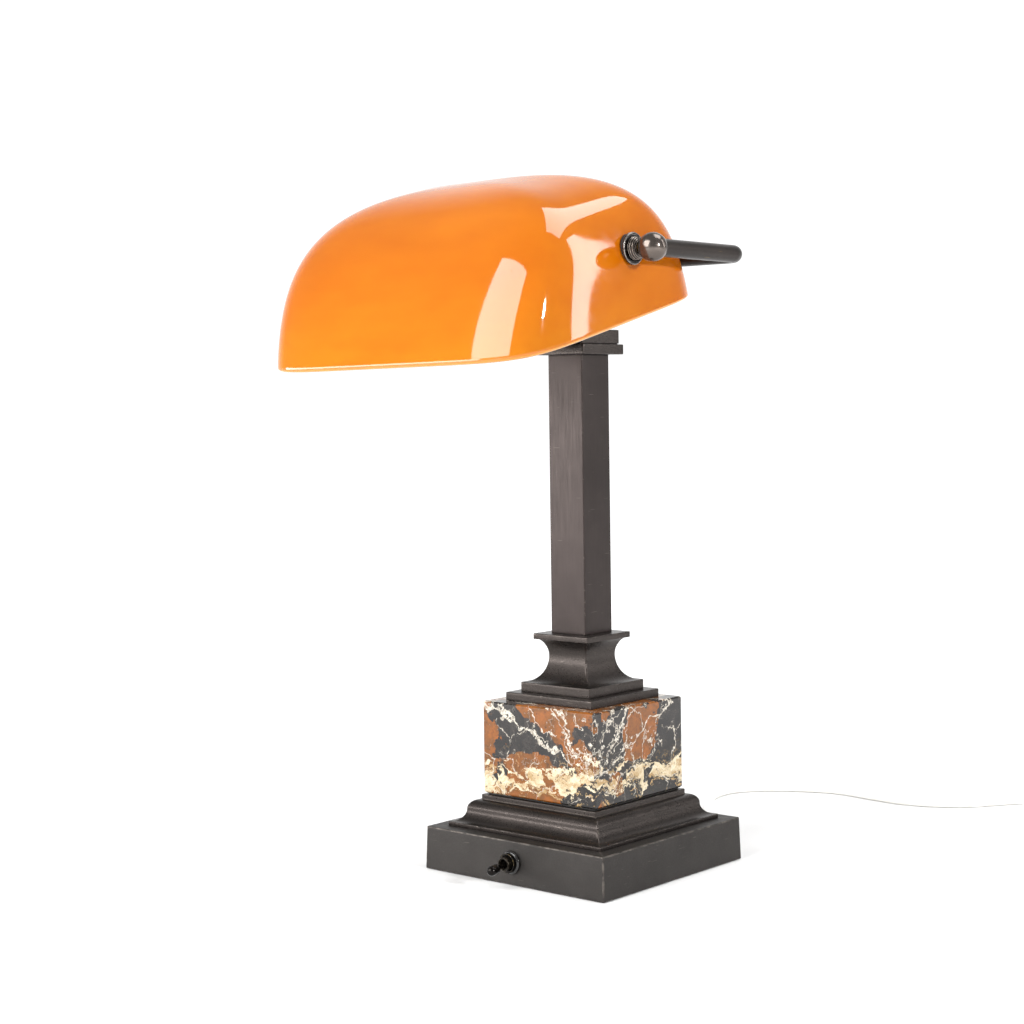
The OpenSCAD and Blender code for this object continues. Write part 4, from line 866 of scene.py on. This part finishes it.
def coil_points(per_turn=40):
    """Points of a clockwise winding from the top of the ring: each turn keeps its radius and shifts by one
    pitch in its last sixth, inwards in the lower layer and outwards in the upper one."""
    turn = np.linspace(0, coil_turns, int(per_turn * coil_turns) + 1)[1:]
    whole = np.floor(turn)
    shift = smooth_step((turn - whole - 5 / 6) * 6)
    step = whole + shift
    lower = np.minimum(step, first_layer_turns - 1)
    upper = np.clip(step - first_layer_turns, 0, None)
    radius = coil_mean_radius + coil_pitch * (1.5 - lower + upper)
    lift = smooth_step((turn - (first_layer_turns - 0.25)) * 4)
    angle = math.pi / 2 - 2 * math.pi * turn
    return MM * np.stack([coil_centre[0] + radius * np.cos(angle), coil_centre[1] + radius * np.sin(angle),
                          coil_low + cord_width * lift], 1)


def flowing(points, spacing=0.0025):
    """Catmull-Rom curve through the points, cut into steps of about the given spacing."""
    ends = np.vstack([2 * points[0] - points[1], points, 2 * points[-1] - points[-2]])
    pieces = []
    for i in range(len(points) - 1):
        a, b, c, d = ends[i:i + 4]
        count = max(2, int(round(np.linalg.norm(c - b) / spacing)))
        t = np.linspace(0, 1, count, endpoint=False)[:, None]
        pieces.append(0.5 * (2 * b + (c - a) * t + (2 * a - 5 * b + 4 * c - d) * t ** 2
                             + (3 * b - a - 3 * c + d) * t ** 3))
    return np.vstack([*pieces, points[-1:]])


cord_line = flowing(np.vstack([run_route, coil_points(), tail_route]))

cord_curve = bpy.data.curves.new("cord", "CURVE")
cord_curve.dimensions = "3D"
cord_curve.bevel_depth = cord_diameter / 2
cord_curve.bevel_resolution = 4
cord_curve.use_fill_caps = True
spline = cord_curve.splines.new("POLY")
spline.points.add(len(cord_line) - 1)
spline.points.foreach_set("co", np.hstack([cord_line, np.ones((len(cord_line), 1))]).ravel())
spline.use_smooth = True
cord = new_object("cord", cord_curve)
white_flex = plain_finish("white_pvc_flex", "#f2f1ed", "#e6e4de", 0.35, 0.0, 8.0, 0.01)
cord_curve.materials.append(white_flex)
finish_nodes(white_flex, "cord_inner")
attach(cord, "stand")
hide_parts("cord_run", "cord_coil", "cord_tail")

# ---- Sleeve, tie and plug of the cord ------------------------------------------------------------
# A ribbed PVC strain relief where the cord leaves the base, a black hook-and-loop tie round the coil,
# and a moulded two-pin plug with finger grips, half-sleeved pins and its own ribbed neck.

white_pvc = plain_finish("white_moulded_pvc", "#eceae5", "#e2dfd8", 0.38, 0.0, 6.0, 0.02)
relief_rows = [(2.85, -8.5, 0), (7, -8.5, 0.3), (7, -6.3, 0.3), (5.2, -6.3, 0.2), (5.2, 0.2, 0.1),
               (7.2, 0.2, 0.2), (7.2, 1.6, 0.4), (6.4, 2.4, 0.4), (5.6, 2.8, 0.3)]
for i, along in enumerate(np.arange(4.2, 26.5, 1.4)):
    taper = 5.5 - 1.9 * (along - 2.8) / 25
    relief_rows.append((taper - (0.55 if i % 2 else 0), along, 0.2))
relief_rows += [(3.6, 27.4, 0.3), (3.2, 28, 0.15), (2.85, 28, 0)]
sleeve = turned_profile("cord_sleeve", relief_rows, (0, base_half, 12), (0, 1, 0), white_pvc, 56, ring=True)
stands_for(sleeve, "cord_gland", slot="white_plastic")


def squared_off(turn, power):
    """Cosine and sine of the angles raised to a power below 1, which squares off a circle."""
    return [np.sign(wave) * np.abs(wave) ** power for wave in (np.cos(turn), np.sin(turn))]


plug_start, plug_height = (250.6, 306), 6.7
run = np.concatenate([np.arange(0.3, 20, 0.35), np.linspace(20, 28, 14), np.linspace(28.7, 51.5, 34),
                      54 - 2.2 * (1 - np.sin(np.linspace(0.1, math.pi / 2, 9)))])
growth = smooth_step((run - 19) / 8)
nose = np.sqrt(np.clip(1 - np.clip((run - 51.8) / 2.25, 0, 1) ** 2, 0, 1))
ribbing = 0.45 * (0.5 + 0.5 * np.cos(2 * math.pi * run / 2.6)) * (run < 18)
neck_r = 3.6 + 1.6 * np.clip(run / 22, 0, 1) - ribbing
grip = 1.1 * np.sin(math.pi * np.clip((run - 29) / 18, 0, 1)) ** 2
half_wide = (neck_r + (12.9 - 5.2 - grip) * growth) * (1 - 0.22 * (1 - nose))
half_high = (neck_r + (6.4 - 5.2) * growth) * (1 - 0.35 * (1 - nose))
turn = np.linspace(0, 2 * math.pi, 64, endpoint=False)
power = 2 / (2 + 1.6 * growth[:, None])
round_x, round_z = squared_off(turn, power)
plug_grid = np.stack(np.broadcast_arrays(plug_start[0] + half_wide[:, None] * round_x,
                                         plug_start[1] - run[:, None],
                                         plug_height + half_high[:, None] * round_z), -1)
plug = surface("plug_moulding", plug_grid, white_pvc,
               poles=((plug_start[0], plug_start[1] - run[0], plug_height),
                      (plug_start[0], plug_start[1] - run[-1], plug_height)))
stands_for(plug, "plug_body", slot="white_plastic")
pin_tip = np.linspace(0, 1.5, 8)
pin_rows = [(1.92, 50), (1.92, 71), *zip(1.92 * np.cos(pin_tip), 71.2 + 1.92 * np.sin(pin_tip))]
sleeve_rows = [(1.93, 52, 0), (2, 52, 0), (2, 63, 0.05), (1.93, 63, 0)]
pin_nickel = plain_finish("nickel_plated_pins", "#c9c8c4", "#b5b4b0", 0.2, 1.0, 3.0)
for side in (-1, 1):
    pin_origin = (plug_start[0] + side * 9.3, plug_start[1], plug_height)
    pin = turned("plug_pin", pin_rows, pin_origin, (0, -1, 0), pin_nickel, columns=32)
    pin_sleeve = turned_profile("plug_pin_sleeve", sleeve_rows, pin_origin, (0, -1, 0), white_pvc, 32,
                                ring=True)
    for piece, finish in ((pin, "zinc_steel"), (pin_sleeve, "white_plastic")):
        stands_for(piece, "plug_pins", slot=finish)

strap_turn = math.radians(215)
outwards = np.array([math.cos(strap_turn), math.sin(strap_turn), 0])
sideways = np.array([-math.sin(strap_turn), math.cos(strap_turn), 0])
loop = np.linspace(0, 2 * math.pi, 96, endpoint=False)
loop_x, loop_z = squared_off(loop, 0.25)
section = np.array([(-2, 0), (-1.8, 0.4), (0, 0.5), (1.8, 0.4), (2, 0), (1.8, -0.15), (0, -0.2),
                    (-1.8, -0.15)])
reach = coil_mean_radius + loop_x[:, None] * (12.0 + section[:, 1])
lift = 6.4 + loop_z[:, None] * (5.85 + section[:, 1])
strap_grid = (np.array([*coil_centre, 0]) + reach[..., None] * outwards + section[None, :, :1] * sideways
              + lift[..., None] * np.array([0, 0, 1]))
black_strap = plain_finish("black_hook_and_loop", "#1b1b1c", "#2a2a2b", 0.9, 0.0, 0.5, 0.12)
strap = surface("coil_tie_strap", strap_grid, black_strap, wrap=(True, True))
stands_for(strap, "cord_tie", slot="dark_plastic")
